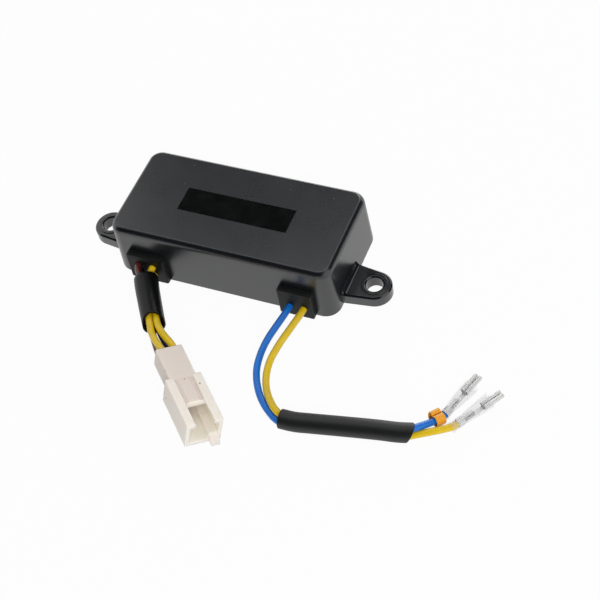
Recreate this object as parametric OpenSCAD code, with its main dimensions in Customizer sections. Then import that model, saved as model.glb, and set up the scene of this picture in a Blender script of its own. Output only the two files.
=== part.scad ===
// Automatic voltage regulator for a small petrol generator.
// A drafted plastic box with two fixing ears is filled with potting compound round a circuit board.
// Two rubber grommets in its front wall pass a four-wire harness with a plug and two brush leads.
// Millimetres, +Z up, origin at the middle of the case's base, cables towards -Y.

/* [Case] */
// Length of the case at its base
case_l = 90; // [86:1:110]
// Width of the case at its base
case_w = 43; // [42:0.5:52]
// Height of the case
case_h = 23; // [22.5:0.5:30]
// Thickness of the case walls
wall = 2; // [1.4:0.1:2.4]
// Radius of the upright corners at the base
corner_r = 5.8; // [4:0.1:8]
// Radius along the top edge
top_edge_r = 1.2; // [0.6:0.1:1.8]
// How far each wall leans in over the full height
draft = 0.9; // [0.3:0.1:1.4]
// Length of the polished field on the top
field_l = 44; // [20:1:60]
// Width of the polished field on the top
field_w = 11; // [6:0.5:16]
// Depth of the polished field
field_sink = 0.2; // [0.1:0.05:0.5]

/* [Ears] */
// Distance from the end wall to a fixing hole
ear_reach = 9.5; // [8.5:0.5:14]
// Offset of the fixing holes towards the cable side
ear_offset = 6; // [0:0.5:8]
// Diameter of the fixing holes
hole_d = 6.4; // [4:0.1:7]
// Width of the chamfer on a hole's rim
hole_chamfer = 0.5; // [0.2:0.1:0.8]
// Radius of an ear round its hole
ear_r = 6.5; // [5.6:0.1:8]
// Taper of an ear's sides, in degrees
ear_taper = 7; // [0:1:12]
// Thickness of the ears
ear_t = 4.8; // [3:0.1:7]
// Bevel along an ear's top edge
ear_edge = 0.6; // [0.3:0.1:1]
// Radius of the fillet between an ear and the end wall
ear_fillet = 1.6; // [0.8:0.1:3]
// Width of the raised ring round a hole
boss_w = 1.7; // [1:0.1:2.2]
// Height of the raised ring
boss_h = 0.4; // [0.2:0.1:1]

/* [Grommets] */
// Distance of the harness grommet from the middle
harness_grommet_x = 29.7; // [27:0.1:32]
// Distance of the lead grommet from the middle
lead_grommet_x = 30.7; // [28:0.1:33]
// Width of the harness grommet
harness_grommet_w = 15.4; // [13:0.1:17]
// Width of the lead grommet
lead_grommet_w = 13.5; // [12:0.1:16]
// Height of the grommets
grommet_h = 13; // [12:0.5:15]
// Gap under the grommets
grommet_lift = 0.4; // [0.2:0.1:1]
// Thickness of the outer flange
flange_t = 2.7; // [1.5:0.1:4]
// Thickness of the inner flange
inner_flange_t = 2; // [1:0.1:2.6]
// How far the flanges overlap the slot
flange_lip = 1.4; // [0.8:0.1:2]
// Radius of the upper corners of a flange
flange_r = 1.3; // [0.8:0.1:3]
// Bevel round the face of a flange
flange_bevel = 0.4; // [0.2:0.1:0.7]
// Height of the harness above the base
harness_z = 6.7; // [6.2:0.1:7.2]
// Height of the lead wires above the base
lead_z = 5.5; // [5:0.1:7]
// Distance between the two lead wires
lead_pitch = 5.5; // [4:0.1:6.2]
// How far the lead wires sit off the grommet's middle
lead_shift = 0.5; // [0:0.1:0.8]
// Distance between the harness wires, side by side
harness_pitch_x = 5.8; // [4:0.1:7]
// Distance between the harness wires, one above the other
harness_pitch_z = 3.8; // [3.2:0.1:4.4]

/* [Wires] */
// Diameter of every wire over its insulation
wire_d = 2.6; // [1.8:0.1:2.7]
// Diameter of a stripped conductor
conductor_d = 1.2; // [0.8:0.1:1.6]
// Diameter of the sleeve on the harness
harness_sleeve_d = 8.8; // [8.6:0.1:10]
// Wall of the sleeve on the harness
harness_sleeve_wall = 0.8; // [0.4:0.1:1]
// Diameter of the sleeve on the leads
lead_sleeve_d = 7; // [6.9:0.1:8]
// Wall of the sleeve on the leads
lead_sleeve_wall = 0.6; // [0.4:0.1:0.8]

/* [Plug] */
// Length of the rear block
rear_l = 14.5; // [12:0.5:20]
// Width of the rear block
rear_w = 9.8; // [9:0.1:12]
// Height of the rear block
rear_h = 7.7; // [7.4:0.1:10]
// Length of the shroud
shroud_l = 22; // [18:0.5:30]
// Width of the shroud
shroud_w = 13.4; // [12.6:0.1:18]
// Height of the shroud
shroud_h = 10.5; // [10:0.1:14]
// How far the shroud's floor lies below the rear block
shroud_drop = 2.5; // [1.5:0.1:3]
// Thickness of the shroud's walls
shroud_wall = 1.5; // [1:0.1:1.8]
// Width of the latch channel in the top
channel_w = 6.8; // [4:0.1:8]
// Depth of the latch channel
channel_sink = 0.7; // [0.3:0.1:0.9]
// Length of the channel's closed floor
channel_l = 12.5; // [8:0.5:16]
// Width of the key tongue at the mouth
tongue_w = 3.7; // [2:0.1:5]
// How far the tongue stands out of the mouth
tongue_l = 2.7; // [1:0.1:5]
// Distance between the contacts, side by side
pin_pitch_y = 4.6; // [4:0.1:5]
// Distance between the contacts, one above the other
pin_pitch_z = 3.8; // [3.2:0.1:4]
// Width of a contact blade
blade_w = 2.8; // [2:0.1:3]
// Thickness of a contact blade
blade_t = 0.8; // [0.5:0.1:1]
// How far the blades reach into the shroud
blade_l = 7.5; // [5:0.5:12]
// How deep a wire goes into the rear block
plug_wire_depth = 5; // [3:0.5:7]

/* [Terminals] */
// Length from the end of the insulation to the receptacle's mouth
terminal_l = 16.5; // [14:0.1:20]
// Length of the receptacle
receptacle_l = 8; // [6:0.5:9]
// Width of the receptacle
receptacle_w = 3.4; // [3:0.1:3.6]
// Height of the receptacle
receptacle_h = 2.2; // [1.8:0.1:2.4]
// Thickness of the terminal sheet
sheet_t = 0.25; // [0.15:0.05:0.25]
// Length of the crimp on the insulation
grip_l = 2.4; // [1.5:0.1:3]
// Length of the crimp on the conductor
crimp_l = 4; // [3:0.1:5]
// Length of a boot
boot_l = 14.6; // [12:0.1:16]
// How far a boot reaches back over the wire
boot_neck_l = 2.6; // [2:0.1:2.7]
// Width of a boot's mouth
boot_w = 5.6; // [5.5:0.1:6.4]
// Height of a boot's mouth
boot_h = 4.4; // [4.3:0.1:5.2]
// Diameter of a boot at the wire
boot_neck_d = 3.8; // [3.8:0.1:4.2]
// How far a boot's mouth sits to the side of the terminal
boot_side = 0.6; // [0:0.1:0.6]
// How far a boot's mouth sits above the terminal
boot_rise = 0.1; // [0.1:0.05:0.5]
// Wall of a boot
boot_wall = 0.25; // [0.15:0.05:0.25]

/* [Marker] */
// Length of the wire marker
marker_l = 3.6; // [2:0.1:4]
// Thickness of the marker's strip
marker_t = 0.5; // [0.3:0.1:0.5]
// Radius of the marker's outer turn
marker_loop_r = 1.9; // [1.6:0.1:2.2]
// How far the outer turn stands off the wire
marker_lift = 2; // [1.4:0.1:2.4]

/* [Inside] */
// Thickness of the circuit board
board_t = 1.6; // [1:0.1:2]
// Height of the board's underside above the base
board_z = 2; // [1.6:0.1:2.2]
// Gap between the board and the walls
board_gap = 1.2; // [0.6:0.1:2]
// Room between the front wall and the board
board_front = 6; // [5:0.1:7]
// How far the compound stops short of the rim
fill_sink = 0.6; // [0.3:0.1:1]
// Depth to which the wires reach behind the front of the case
wire_depth = 6.5; // [5.5:0.1:6.8]
// Diameter of the filter capacitor
capacitor_d = 12.5; // [8:0.5:13]
// Height of the filter capacitor
capacitor_h = 15; // [10:0.5:16]
// Length of the film capacitor
film_l = 13; // [8:0.5:13]
// Thickness of the film capacitor
film_t = 5; // [3:0.5:6]
// Height of the film capacitor
film_h = 11; // [7:0.5:14]
// Diameter of the power diodes
diode_d = 5.2; // [3:0.1:5.6]
// Length of the power diodes
diode_l = 9.4; // [6:0.1:10]
// Diameter of the zener diode
zener_d = 2.7; // [1.6:0.1:3]
// Length of the zener diode
zener_l = 5.2; // [3:0.1:6]
// Diameter of the power resistors
power_resistor_d = 4; // [3:0.1:5]
// Length of the power resistors
power_resistor_l = 11; // [8:0.1:12]
// Diameter of the small resistors
small_resistor_d = 2.4; // [1.6:0.1:2.8]
// Length of the small resistors
small_resistor_l = 6.3; // [4:0.1:7]
// Diameter of the component leads
lead_d = 0.8; // [0.5:0.1:1]
// Width of the power transistor
transistor_w = 10; // [8:0.1:11]
// Thickness of the power transistor
transistor_t = 4.5; // [3.5:0.1:5]
// Height of the power transistor's body
transistor_h = 9; // [7:0.1:9.5]
// Height of its cooling tab
tab_h = 6; // [4:0.1:6.2]
// Thickness of its cooling tab
tab_t = 1.3; // [0.8:0.1:2]
// Diameter of the driver transistors
driver_d = 4.8; // [4:0.1:5.4]
// Height of the driver transistors
driver_h = 4.8; // [4:0.1:6]
// Side of the trimmer
trimmer_w = 9.5; // [6:0.1:10]
// Height of the trimmer
trimmer_h = 5; // [3:0.1:7]

/* [Hidden] */

$fn = 48;
hull_fn = 48;
wire_sides = 8;
sleeve_sides = 12;
// Amount by which a cut runs past the face that it opens
over = 1;
// Clearance of a wire or contact in the plug
plug_fit = 0.12;
// Clearance of a crimp round a wire
wrap_fit = 0.05;
// Clearance of the marker round a wire, and how far it rides up in it
marker_fit = 0.45;
marker_rise = 0.25;
// Gap between a lying component and the board
stand_off = 0.3;
// Room between the back row of components and the board's edge
back_room = 0.85;
// Room between the front row of components and the board's edge
front_room = 1.8;
// Gap between two rows of components
row_gap = 0.6;
// How far a wire runs straight on in front of its grommet
run_out = 0.6;

lean = atan(draft / case_h);
inset = wall / cos(lean);
ceiling_z = case_h - wall;
cavity_edge_r = 0.8;
board_top = board_z + board_t;
front_y = -case_w / 2;
wire_end_y = front_y + wire_depth;
hole_x = case_l / 2 + ear_reach;
slot_h = grommet_lift + grommet_h - flange_lip;
slot_foot = 3;

// Board edges, inside the leaning walls at the board's top
board_x = case_l / 2 - inset - lean_at(board_top) - board_gap;
board_y0 = front_y + inset + lean_at(board_top) + board_front;
board_y1 = case_w / 2 - inset - lean_at(board_top) - board_gap;
board_r = 2;

// Rows of components on the board: one along its front edge, one along its back edge, one between
back_y = board_y1 - back_room;
small_resistor_y = board_y0 + front_room + small_resistor_d / 2;
row_front = small_resistor_y + small_resistor_d / 2 + row_gap;
row_back = back_y - trimmer_w - row_gap;
row_y = (row_front + row_back) / 2;

// Places of the components, from the middle of the case
capacitor_at = [-30.5, back_y - capacitor_d / 2];
film_at = [-11.5, back_y - film_t / 2];
diode_row = [-14, -7.5, -1, 5.5];
diode_span = row_back - row_front - lead_d;
freewheel_x = 16;
zener_x = 23;
zener_span = 9;
power_resistor_row = [-21, 36.5];
power_resistor_span = 14.6;
power_resistor_y = back_y - (power_resistor_span + lead_d) / 2;
small_resistor_row = [-16, -4, 8];
small_resistor_span = 10;
transistor_at = [23, back_y - transistor_t / 2];
driver_x = 30;
driver_pitch = 7;
trimmer_at = [10.5, back_y - trimmer_w / 2];
tail_run = 3;
tail_step = 3.6;

// Where the harness and lead wires pass the front wall
harness_left = -harness_grommet_x - harness_pitch_x / 2;
harness_right = -harness_grommet_x + harness_pitch_x / 2;
harness_low = harness_z - harness_pitch_z / 2;
harness_high = harness_z + harness_pitch_z / 2;
blue_x = lead_grommet_x + lead_shift - lead_pitch / 2;
yellow_x = lead_grommet_x + lead_shift + lead_pitch / 2;
wire_places = [
    [harness_left, harness_high],
    [harness_right, harness_high],
    [harness_right, harness_low],
    [harness_left, harness_low],
    [blue_x, lead_z],
    [yellow_x, lead_z]
];

// Plug frame: x from the rear face to the mouth, y across, z up from the rear block's underside
plug_turn = -44;
plug_roll = -18;
plug_x = -5.4;
plug_y = -58.4;
plug_z = -shroud_w / 2 * sin(plug_roll) + shroud_drop * cos(plug_roll);
pin_z = 3.85;
plug_run_in = -1.5;
cavity_x = rear_l + shroud_wall;
shroud_top = shroud_h - shroud_drop;
barrel_x = plug_wire_depth;
blade_x = 9;

// Free stretches of the wires, from the grommet to the plug or the terminal
brown_free = [
    [-29.1, -28.9, 8.3], [-26.8, -33.6, 7.2], [-23.5, -38.6, 6.5],
    [-19.8, -43.5, 6], [-16.1, -48.2, 6], [-13, -52.2, 6.3]
];
yellow_a_free = [
    [-26.7, -27.5, 8.3], [-24.9, -32.4, 8.8], [-22.3, -37.7, 8.8],
    [-19.3, -43.2, 8.7], [-16.1, -48.2, 8.8], [-13, -52.2, 9.3]
];
yellow_b_free = [
    [-26.7, -27.5, 5.4], [-23.6, -31.6, 6.6], [-20.3, -36.4, 7.3],
    [-17.1, -41.7, 8.2], [-13.9, -46.6, 8.8], [-10.5, -50, 9.4]
];
navy_free = [
    [-29.1, -28.9, 5.4], [-25.5, -32.8, 5], [-21.5, -37.3, 5],
    [-17.5, -42, 5.5], [-13.9, -46.6, 6], [-10.8, -50.2, 6.3]
];
blue_free = [
    [28, -28.8, 5.4], [26.9, -34.4, 5], [25.9, -40.5, 4.3], [25.8, -46.1, 3.5],
    [26.3, -50.1, 2.9], [27.6, -54, 2.4], [29.7, -57.9, 2.1], [32.6, -61.7, 1.9],
    [36.1, -65, 1.9], [39.6, -67.5, 2.2], [43.2, -69.4, 2.7], [48.3, -69.4, 3.1],
    [54.8, -68.2, 3.8], [65.6, -65.6, 4.6], [76, -62.6, 4.9], [84.9, -60.6, 4.7],
    [87, -59.9, 4.7], [88.7, -58.6, 4.4], [90.9, -56.1, 3.4], [93.2, -53.5, 2.6],
    [95.2, -50.9, 2.1], [96.4, -47.4, 2.1]
];
yellow_free = [
    [33.3, -28.3, 5.4], [32.4, -33, 5.1], [31.2, -38.2, 4.5], [30.4, -42.7, 3.8],
    [30, -47, 3.1], [30.6, -51.7, 2.5], [32.3, -56.3, 2.4], [34.5, -59.9, 2.9],
    [37.1, -63, 3.6], [39.9, -65.6, 4.1], [43.2, -67.3, 4.2], [48.1, -66.7, 3.9],
    [54.2, -65.5, 3.2], [65.2, -64, 2.4], [76, -63.1, 2.1], [85.3, -61.9, 2.3],
    [88.4, -60.4, 2.3], [92.5, -58.4, 2.8], [96.3, -56.2, 2.8], [100.1, -52.9, 2.1],
    [102.1, -49.9, 2.1]
];
harness_sleeve_route = [
    [-27.9, -28.2, 6.9], [-26.6, -30.4, 6.9], [-25.2, -32.6, 6.9], [-21.9, -37.5, 6.9],
    [-18.4, -42.6, 7.1], [-15, -47.4, 7.4]
];
lead_sleeve_route = [
    [43, -68.3, 3.5], [48, -68.1, 3.5], [53.5, -67.1, 3.5], [65.4, -64.8, 3.5],
    [77.3, -62.6, 3.5], [83, -61.7, 3.5], [87.2, -60.7, 3.5]
];
// The marker sits between these two points of the blue lead
marker_from = 19;
marker_to = 20;
marker_place = 0.5;
marker_turn = 35;

function lean_at(z) = draft * z / case_h;

// A point of the plug's own frame, in the part's frame
function plug_point(x, y, z) =
    let (yr = y * cos(plug_roll) - z * sin(plug_roll))
    let (zr = y * sin(plug_roll) + z * cos(plug_roll))
    [
        plug_x + x * cos(plug_turn) - yr * sin(plug_turn),
        plug_y + x * sin(plug_turn) + yr * cos(plug_turn),
        plug_z + zr
    ];

function pin_y(side) = side * pin_pitch_y / 2;
function pin_height(side) = pin_z + side * pin_pitch_z / 2;

// Straight run of a wire through the front wall and its grommet
function wall_run(place) = [
    [place[0], wire_end_y, place[1]],
    [place[0], front_y - flange_t - run_out, place[1]]
];

// Straight run of a wire into the plug's rear block
function plug_run(side_y, side_z) = [
    plug_point(plug_run_in, pin_y(side_y), pin_height(side_z)),
    plug_point(plug_wire_depth, pin_y(side_y), pin_height(side_z))
];

function unit(v) = v / norm(v);
function tangent(p, i) = unit(p[min(i + 1, len(p) - 1)] - p[max(i - 1, 0)]);
function ring(c, t, r, n) =
    let (side = unit(cross(t, [0, 0, 1])))
    let (up = cross(side, t))
    [for (k = [0:n - 1]) let (a = 360 * (k + 0.5) / n) c + r * (cos(a) * side + sin(a) * up)];
function rings(p, r, n) = [for (i = [0:len(p) - 1]) each ring(p[i], tangent(p, i), r, n)];

// Triangles between successive rings that start at vertex number base
function wall_faces(base, count, n, turned) = [
    for (i = [0:count - 2])
    for (k = [0:n - 1])
    let (a = base + i * n + k)
    let (b = base + i * n + (k + 1) % n)
    each turned ? [[a, a + n, b], [b, a + n, b + n]] : [[a, b, a + n], [b, b + n, a + n]]
];

// Solid round tube along a route
module wire_tube(route, d) {
    n = wire_sides;
    last = (len(route) - 1) * n;
    polyhedron(
        points = rings(route, d / 2, n),
        faces = concat(
            wall_faces(0, len(route), n, true),
            [[for (k = [0:n - 1]) k], [for (k = [0:n - 1]) last + n - 1 - k]]
        )
    );
}

// Open tube with a wall along a route
module sleeve_tube(route, d, thick) {
    n = sleeve_sides;
    count = len(route);
    inner = count * n;
    last = (count - 1) * n;
    polyhedron(
        points = concat(rings(route, d / 2, n), rings(route, d / 2 - thick, n)),
        faces = concat(
            wall_faces(0, count, n, true),
            wall_faces(inner, count, n, false),
            [
                for (k = [0:n - 1])
                let (j = (k + 1) % n)
                each [[k, j, inner + k], [j, inner + j, inner + k]]
            ],
            [
                for (k = [0:n - 1])
                let (a = last + k)
                let (b = last + (k + 1) % n)
                each [[a, inner + a, b], [b, inner + a, inner + b]]
            ]
        )
    );
}

// Box with leaning walls, round upright corners and a round top edge
module drafted_box(inset, top_z, edge_r, below) {
    edge_z = top_z - edge_r;
    foot_r = corner_r - inset + lean_at(below);
    edge_corner_r = corner_r - inset - lean_at(edge_z);
    hull() {
        for (sx = [-1, 1]) {
            for (sy = [-1, 1]) {
                translate([sx * (case_l / 2 - corner_r), sy * (case_w / 2 - corner_r), 0]) {
                    translate([0, 0, -below])
                        cylinder(h = edge_z + below, r1 = foot_r, r2 = edge_corner_r, $fn = hull_fn);
                    translate([0, 0, edge_z])
                        rotate_extrude($fn = hull_fn)
                            translate([edge_corner_r - edge_r, 0])
                                circle(edge_r, $fn = hull_fn);
                }
            }
        }
    }
}

// Outline of an ear, with the hole at the origin and the end wall towards -X
module ear_outline(shrink) {
    r = ear_r - shrink;
    root = ear_reach + wall / 2;
    root_w = r / cos(ear_taper) + root * tan(ear_taper);
    circle(r);
    polygon([
        [-root, -root_w],
        [r * sin(ear_taper), -r * cos(ear_taper)],
        [r * sin(ear_taper), r * cos(ear_taper)],
        [-root, root_w]
    ]);
}

// Ear with a bevelled top edge, a raised ring and a fillet to the end wall
module ear_blank() {
    hull() {
        linear_extrude(ear_t - ear_edge)
            ear_outline(0, $fn = hull_fn);
        linear_extrude(ear_t)
            ear_outline(ear_edge, $fn = hull_fn);
    }
    cylinder(h = ear_t + boss_h, d = hole_d + 2 * boss_w);
    wall_x = -ear_reach - lean_at(ear_t);
    intersection() {
        difference() {
            translate([wall_x - wall / 2, -case_w / 2, 0])
                cube([wall / 2 + ear_fillet, case_w, ear_t + ear_fillet]);
            translate([wall_x + ear_fillet, 0, ear_t + ear_fillet])
                rotate([90, 0, 0])
                    cylinder(h = case_w + over, r = ear_fillet, center = true);
        }
        linear_extrude(ear_t + ear_fillet)
            ear_outline(ear_edge);
    }
}

module ear_hole() {
    rim_z = ear_t + boss_h;
    translate([0, 0, -over])
        cylinder(h = rim_z + 2 * over, d = hole_d);
    translate([0, 0, rim_z - hole_chamfer])
        cylinder(h = 2 * hole_chamfer, d1 = hole_d, d2 = hole_d + 4 * hole_chamfer);
}

// Puts a right-hand and a mirrored left-hand copy at the fixing holes
module at_ears() {
    for (side = [0, 1])
        mirror([side, 0, 0])
            translate([hole_x, -ear_offset, 0])
                children();
}

// Frame of the front wall: x along it, -y out of it, z up its leaning face
module on_front_wall(x) {
    translate([x, front_y, 0])
        rotate([-lean, 0, 0])
            children();
}

module wall_slot(w) {
    translate([-w / 2 + flange_lip, -over, -slot_foot])
        cube([w - 2 * flange_lip, wall + 2 * over, slot_h + slot_foot]);
}

module case() {
    color("#2c2c2e")
        difference() {
            union() {
                drafted_box(0, case_h, top_edge_r, 0);
                at_ears() ear_blank();
            }
            drafted_box(inset, ceiling_z, cavity_edge_r, over);
            at_ears() ear_hole();
            on_front_wall(-harness_grommet_x) wall_slot(harness_grommet_w);
            on_front_wall(lead_grommet_x) wall_slot(lead_grommet_w);
            translate([-field_l / 2, -field_w / 2, case_h - field_sink])
                cube([field_l, field_w, over]);
        }
}

// Plate with round upper corners, from the wall plane outwards
module flange_plate(w, shrink, t) {
    r = flange_r - shrink;
    x = w / 2 - flange_r;
    rotate([90, 0, 0])
        linear_extrude(t) {
            for (side = [-1, 1])
                translate([side * x, grommet_h - flange_r])
                    circle(r);
            translate([-x, shrink])
                square([2 * x, grommet_h - 2 * shrink]);
            translate([-w / 2 + shrink, shrink])
                square([w - 2 * shrink, grommet_h - flange_r - shrink]);
        }
}

// Grommet body: outer flange with a bevelled face, neck in the slot, inner flange
module grommet_body(w) {
    translate([0, 0, grommet_lift]) {
        hull() {
            flange_plate(w, 0, flange_t - flange_bevel, $fn = hull_fn);
            flange_plate(w, flange_bevel, flange_t, $fn = hull_fn);
        }
        translate([-w / 2 + flange_lip, 0, 0])
            cube([w - 2 * flange_lip, wall, grommet_h - flange_lip]);
        translate([0, wall + inner_flange_t, 0])
            flange_plate(w, 0, inner_flange_t);
    }
}

// Straight passages for the wires whose numbers are listed
module wire_bores(numbers) {
    for (i = numbers)
        translate([wire_places[i][0], wire_end_y, wire_places[i][1]])
            rotate([90, 0, 0])
                cylinder(h = wire_depth + flange_t + 2 * over, d = wire_d);
}

module harness_grommet() {
    color("#1d1d1e")
        difference() {
            on_front_wall(-harness_grommet_x) grommet_body(harness_grommet_w);
            wire_bores([0:3]);
        }
}

module lead_grommet() {
    color("#1d1d1e")
        difference() {
            on_front_wall(lead_grommet_x) grommet_body(lead_grommet_w);
            wire_bores([4:5]);
        }
}

module circuit_board() {
    mid_y = (board_y0 + board_y1) / 2;
    half_y = (board_y1 - board_y0) / 2;
    color("#8a6a35")
        translate([0, mid_y, board_z])
            linear_extrude(board_t) {
                square([2 * board_x - 2 * board_r, 2 * half_y], center = true);
                square([2 * board_x, 2 * half_y - 2 * board_r], center = true);
                for (sx = [-1, 1])
                    for (sy = [-1, 1])
                        translate([sx * (board_x - board_r), sy * (half_y - board_r)])
                            circle(board_r);
            }
}

// Component lying on its two bent leads, along Y
module axial(body_d, body_l, span) {
    axis_z = board_top + stand_off + body_d / 2;
    translate([0, body_l / 2, axis_z])
        rotate([90, 0, 0])
            cylinder(h = body_l, d = body_d);
    translate([0, span / 2, axis_z])
        rotate([90, 0, 0])
            cylinder(h = span, d = lead_d);
    for (side = [-1, 1])
        translate([0, side * span / 2, 0]) {
            translate([0, 0, board_top])
                cylinder(h = axis_z - board_top, d = lead_d);
            translate([0, 0, axis_z])
                sphere(d = lead_d);
        }
}

module filter_capacitor() {
    groove_r = 0.8;
    groove_out = 0.3;
    color("#27406b")
        translate([capacitor_at[0], capacitor_at[1], board_top])
            difference() {
                cylinder(h = capacitor_h, d = capacitor_d);
                translate([0, 0, capacitor_h / 6])
                    rotate_extrude()
                        translate([capacitor_d / 2 + groove_out, 0])
                            circle(groove_r);
            }
}

module film_capacitor() {
    color("#b8452a")
        translate([film_at[0] - film_l / 2, film_at[1] - film_t / 2, board_top])
            cube([film_l, film_t, film_h]);
}

module rectifier_diodes() {
    color("#1a1a1a")
        for (x = diode_row)
            translate([x, row_y, 0])
                axial(diode_d, diode_l, diode_span);
}

module freewheel_diode() {
    color("#1a1a1a")
        translate([freewheel_x, row_y, 0])
            axial(diode_d, diode_l, diode_span);
}

module zener_diode() {
    color("#c8642a")
        translate([zener_x, row_y, 0])
            axial(zener_d, zener_l, zener_span);
}

module power_resistors() {
    color("#a8b0a0")
        for (x = power_resistor_row)
            translate([x, power_resistor_y, 0])
                axial(power_resistor_d, power_resistor_l, power_resistor_span);
}

module small_resistors() {
    color("#c9b28a")
        for (x = small_resistor_row)
            translate([x, small_resistor_y, 0])
                rotate([0, 0, 90])
                    axial(small_resistor_d, small_resistor_l, small_resistor_span);
}

module power_transistor() {
    leg_z = 1;
    leg_w = 0.9;
    leg_pitch = 2.54;
    tab_hole_d = 3.6;
    color("#202022")
        translate([transistor_at[0], transistor_at[1], board_top]) {
            translate([-transistor_w / 2, -transistor_t / 2, leg_z])
                cube([transistor_w, transistor_t, transistor_h]);
            for (i = [-1:1])
                translate([i * leg_pitch - leg_w / 2, -leg_w / 2, 0])
                    cube([leg_w, leg_w, leg_z]);
            translate([0, transistor_t / 2 - tab_t, leg_z + transistor_h])
                difference() {
                    translate([-transistor_w / 2, 0, 0])
                        cube([transistor_w, tab_t, tab_h]);
                    translate([0, tab_t / 2, tab_h / 2])
                        rotate([90, 0, 0])
                            cylinder(h = tab_t + over, d = tab_hole_d, center = true);
                }
        }
}

module driver_transistors() {
    leg_z = 2;
    leg_pitch = 1.27;
    color("#202022")
        for (side = [-1, 1])
            translate([driver_x, row_y + side * driver_pitch / 2, board_top]) {
                translate([0, 0, leg_z])
                    intersection() {
                        cylinder(h = driver_h, d = driver_d);
                        translate([-driver_d / 2, -driver_d * 0.3, 0])
                            cube([driver_d, driver_d, driver_h]);
                    }
                for (i = [-1:1])
                    translate([i * leg_pitch, 0, 0])
                        cylinder(h = leg_z, d = lead_d);
            }
}

module trimmer() {
    dial_d = 6;
    dial_h = 0.8;
    slot_w = 0.9;
    color("#2f5f9c")
        translate([trimmer_at[0], trimmer_at[1], board_top])
            difference() {
                union() {
                    translate([-trimmer_w / 2, -trimmer_w / 2, 0])
                        cube([trimmer_w, trimmer_w, trimmer_h]);
                    cylinder(h = trimmer_h + dial_h, d = dial_d);
                }
                translate([-dial_d / 3, -slot_w / 2, trimmer_h])
                    cube([dial_d / 1.5, slot_w, over]);
            }
}

// Stripped wire ends that reach over the board and down to it
module solder_tails() {
    fillet_d = 2.6;
    fillet_h = 0.6;
    color("#b9bcc0")
        for (at = wire_places)
            translate([at[0], 0, 0]) {
                tail_y = board_y0 + tail_run + (at[1] == harness_high ? tail_step : 0);
                translate([0, tail_y, at[1]])
                    rotate([90, 0, 0])
                        cylinder(h = tail_y - wire_end_y, d = conductor_d);
                translate([0, tail_y, at[1]])
                    sphere(d = conductor_d);
                translate([0, tail_y, board_top])
                    cylinder(h = at[1] - board_top, d = conductor_d);
                translate([0, tail_y, board_top])
                    cylinder(h = fillet_h, d1 = fillet_d, d2 = conductor_d);
            }
}

// Compound that fills the case round everything inside it
module potting_compound() {
    color("#3a3632")
        difference() {
            intersection() {
                drafted_box(inset, ceiling_z, cavity_edge_r, over);
                translate([-case_l / 2, -case_w / 2, fill_sink])
                    cube([case_l, case_w, case_h]);
            }
            on_front_wall(-harness_grommet_x) grommet_body(harness_grommet_w);
            on_front_wall(lead_grommet_x) grommet_body(lead_grommet_w);
            wire_bores([0:5]);
            circuit_board();
            filter_capacitor();
            film_capacitor();
            rectifier_diodes();
            freewheel_diode();
            zener_diode();
            power_resistors();
            small_resistors();
            power_transistor();
            driver_transistors();
            trimmer();
            solder_tails();
        }
}

module brown_wire() {
    color("#5b1f1c")
        wire_tube(concat(wall_run(wire_places[0]), brown_free, plug_run(-1, -1)), wire_d);
}

module yellow_wire_a() {
    color("#e2c12a")
        wire_tube(concat(wall_run(wire_places[1]), yellow_a_free, plug_run(-1, 1)), wire_d);
}

module yellow_wire_b() {
    color("#e2c12a")
        wire_tube(concat(wall_run(wire_places[2]), yellow_b_free, plug_run(1, 1)), wire_d);
}

module navy_wire() {
    color("#1b2a4a")
        wire_tube(concat(wall_run(wire_places[3]), navy_free, plug_run(1, -1)), wire_d);
}

module blue_lead() {
    color("#1f6fd0")
        wire_tube(concat(wall_run(wire_places[4]), blue_free), wire_d);
}

module yellow_lead() {
    color("#e2c12a")
        wire_tube(concat(wall_run(wire_places[5]), yellow_free), wire_d);
}

module harness_sleeve() {
    color("#1b1b1c")
        sleeve_tube(harness_sleeve_route, harness_sleeve_d, harness_sleeve_wall);
}

module lead_sleeve() {
    color("#1b1b1c")
        sleeve_tube(lead_sleeve_route, lead_sleeve_d, lead_sleeve_wall);
}

module in_plug() {
    translate([plug_x, plug_y, plug_z])
        rotate([0, 0, plug_turn])
            rotate([plug_roll, 0, 0])
                children();
}

module at_pins() {
    for (sy = [-1, 1])
        for (sz = [-1, 1])
            translate([0, pin_y(sy), pin_height(sz)])
                children();
}

module along_x(x, length, d) {
    translate([x, 0, 0])
        rotate([0, 90, 0])
            cylinder(h = length, d = d);
}

// Rear block with four passages, open shroud with a latch channel between two rails, key tongue
module plug_housing() {
    color("#e6e0d6")
        in_plug()
            difference() {
                union() {
                    translate([0, -rear_w / 2, 0])
                        cube([rear_l + shroud_wall, rear_w, rear_h]);
                    translate([rear_l, -shroud_w / 2, -shroud_drop])
                        cube([shroud_l, shroud_w, shroud_h]);
                    translate([cavity_x, shroud_w / 2 - tongue_w, -shroud_drop])
                        cube([shroud_l - shroud_wall + tongue_l, tongue_w, shroud_wall]);
                }
                translate([cavity_x, -shroud_w / 2 + shroud_wall, shroud_wall - shroud_drop])
                    cube([shroud_l + tongue_l, shroud_w - 2 * shroud_wall, shroud_h - 2 * shroud_wall]);
                translate([rear_l - over, -channel_w / 2, shroud_top - channel_sink])
                    cube([shroud_l + 2 * over, channel_w, channel_sink + over]);
                translate([rear_l + channel_l, -channel_w / 2, shroud_top - 2 * shroud_wall])
                    cube([shroud_l, channel_w, 2 * shroud_wall + over]);
                at_pins() {
                    along_x(-over, barrel_x + over, wire_d + 2 * plug_fit);
                    along_x(barrel_x - over, blade_x - barrel_x + over, wire_d + 2 * plug_fit);
                    translate([blade_x - over, -blade_w / 2 - plug_fit, -blade_t / 2 - plug_fit])
                        cube([cavity_x - blade_x + 2 * over, blade_w + 2 * plug_fit, blade_t + 2 * plug_fit]);
                }
            }
}

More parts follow.
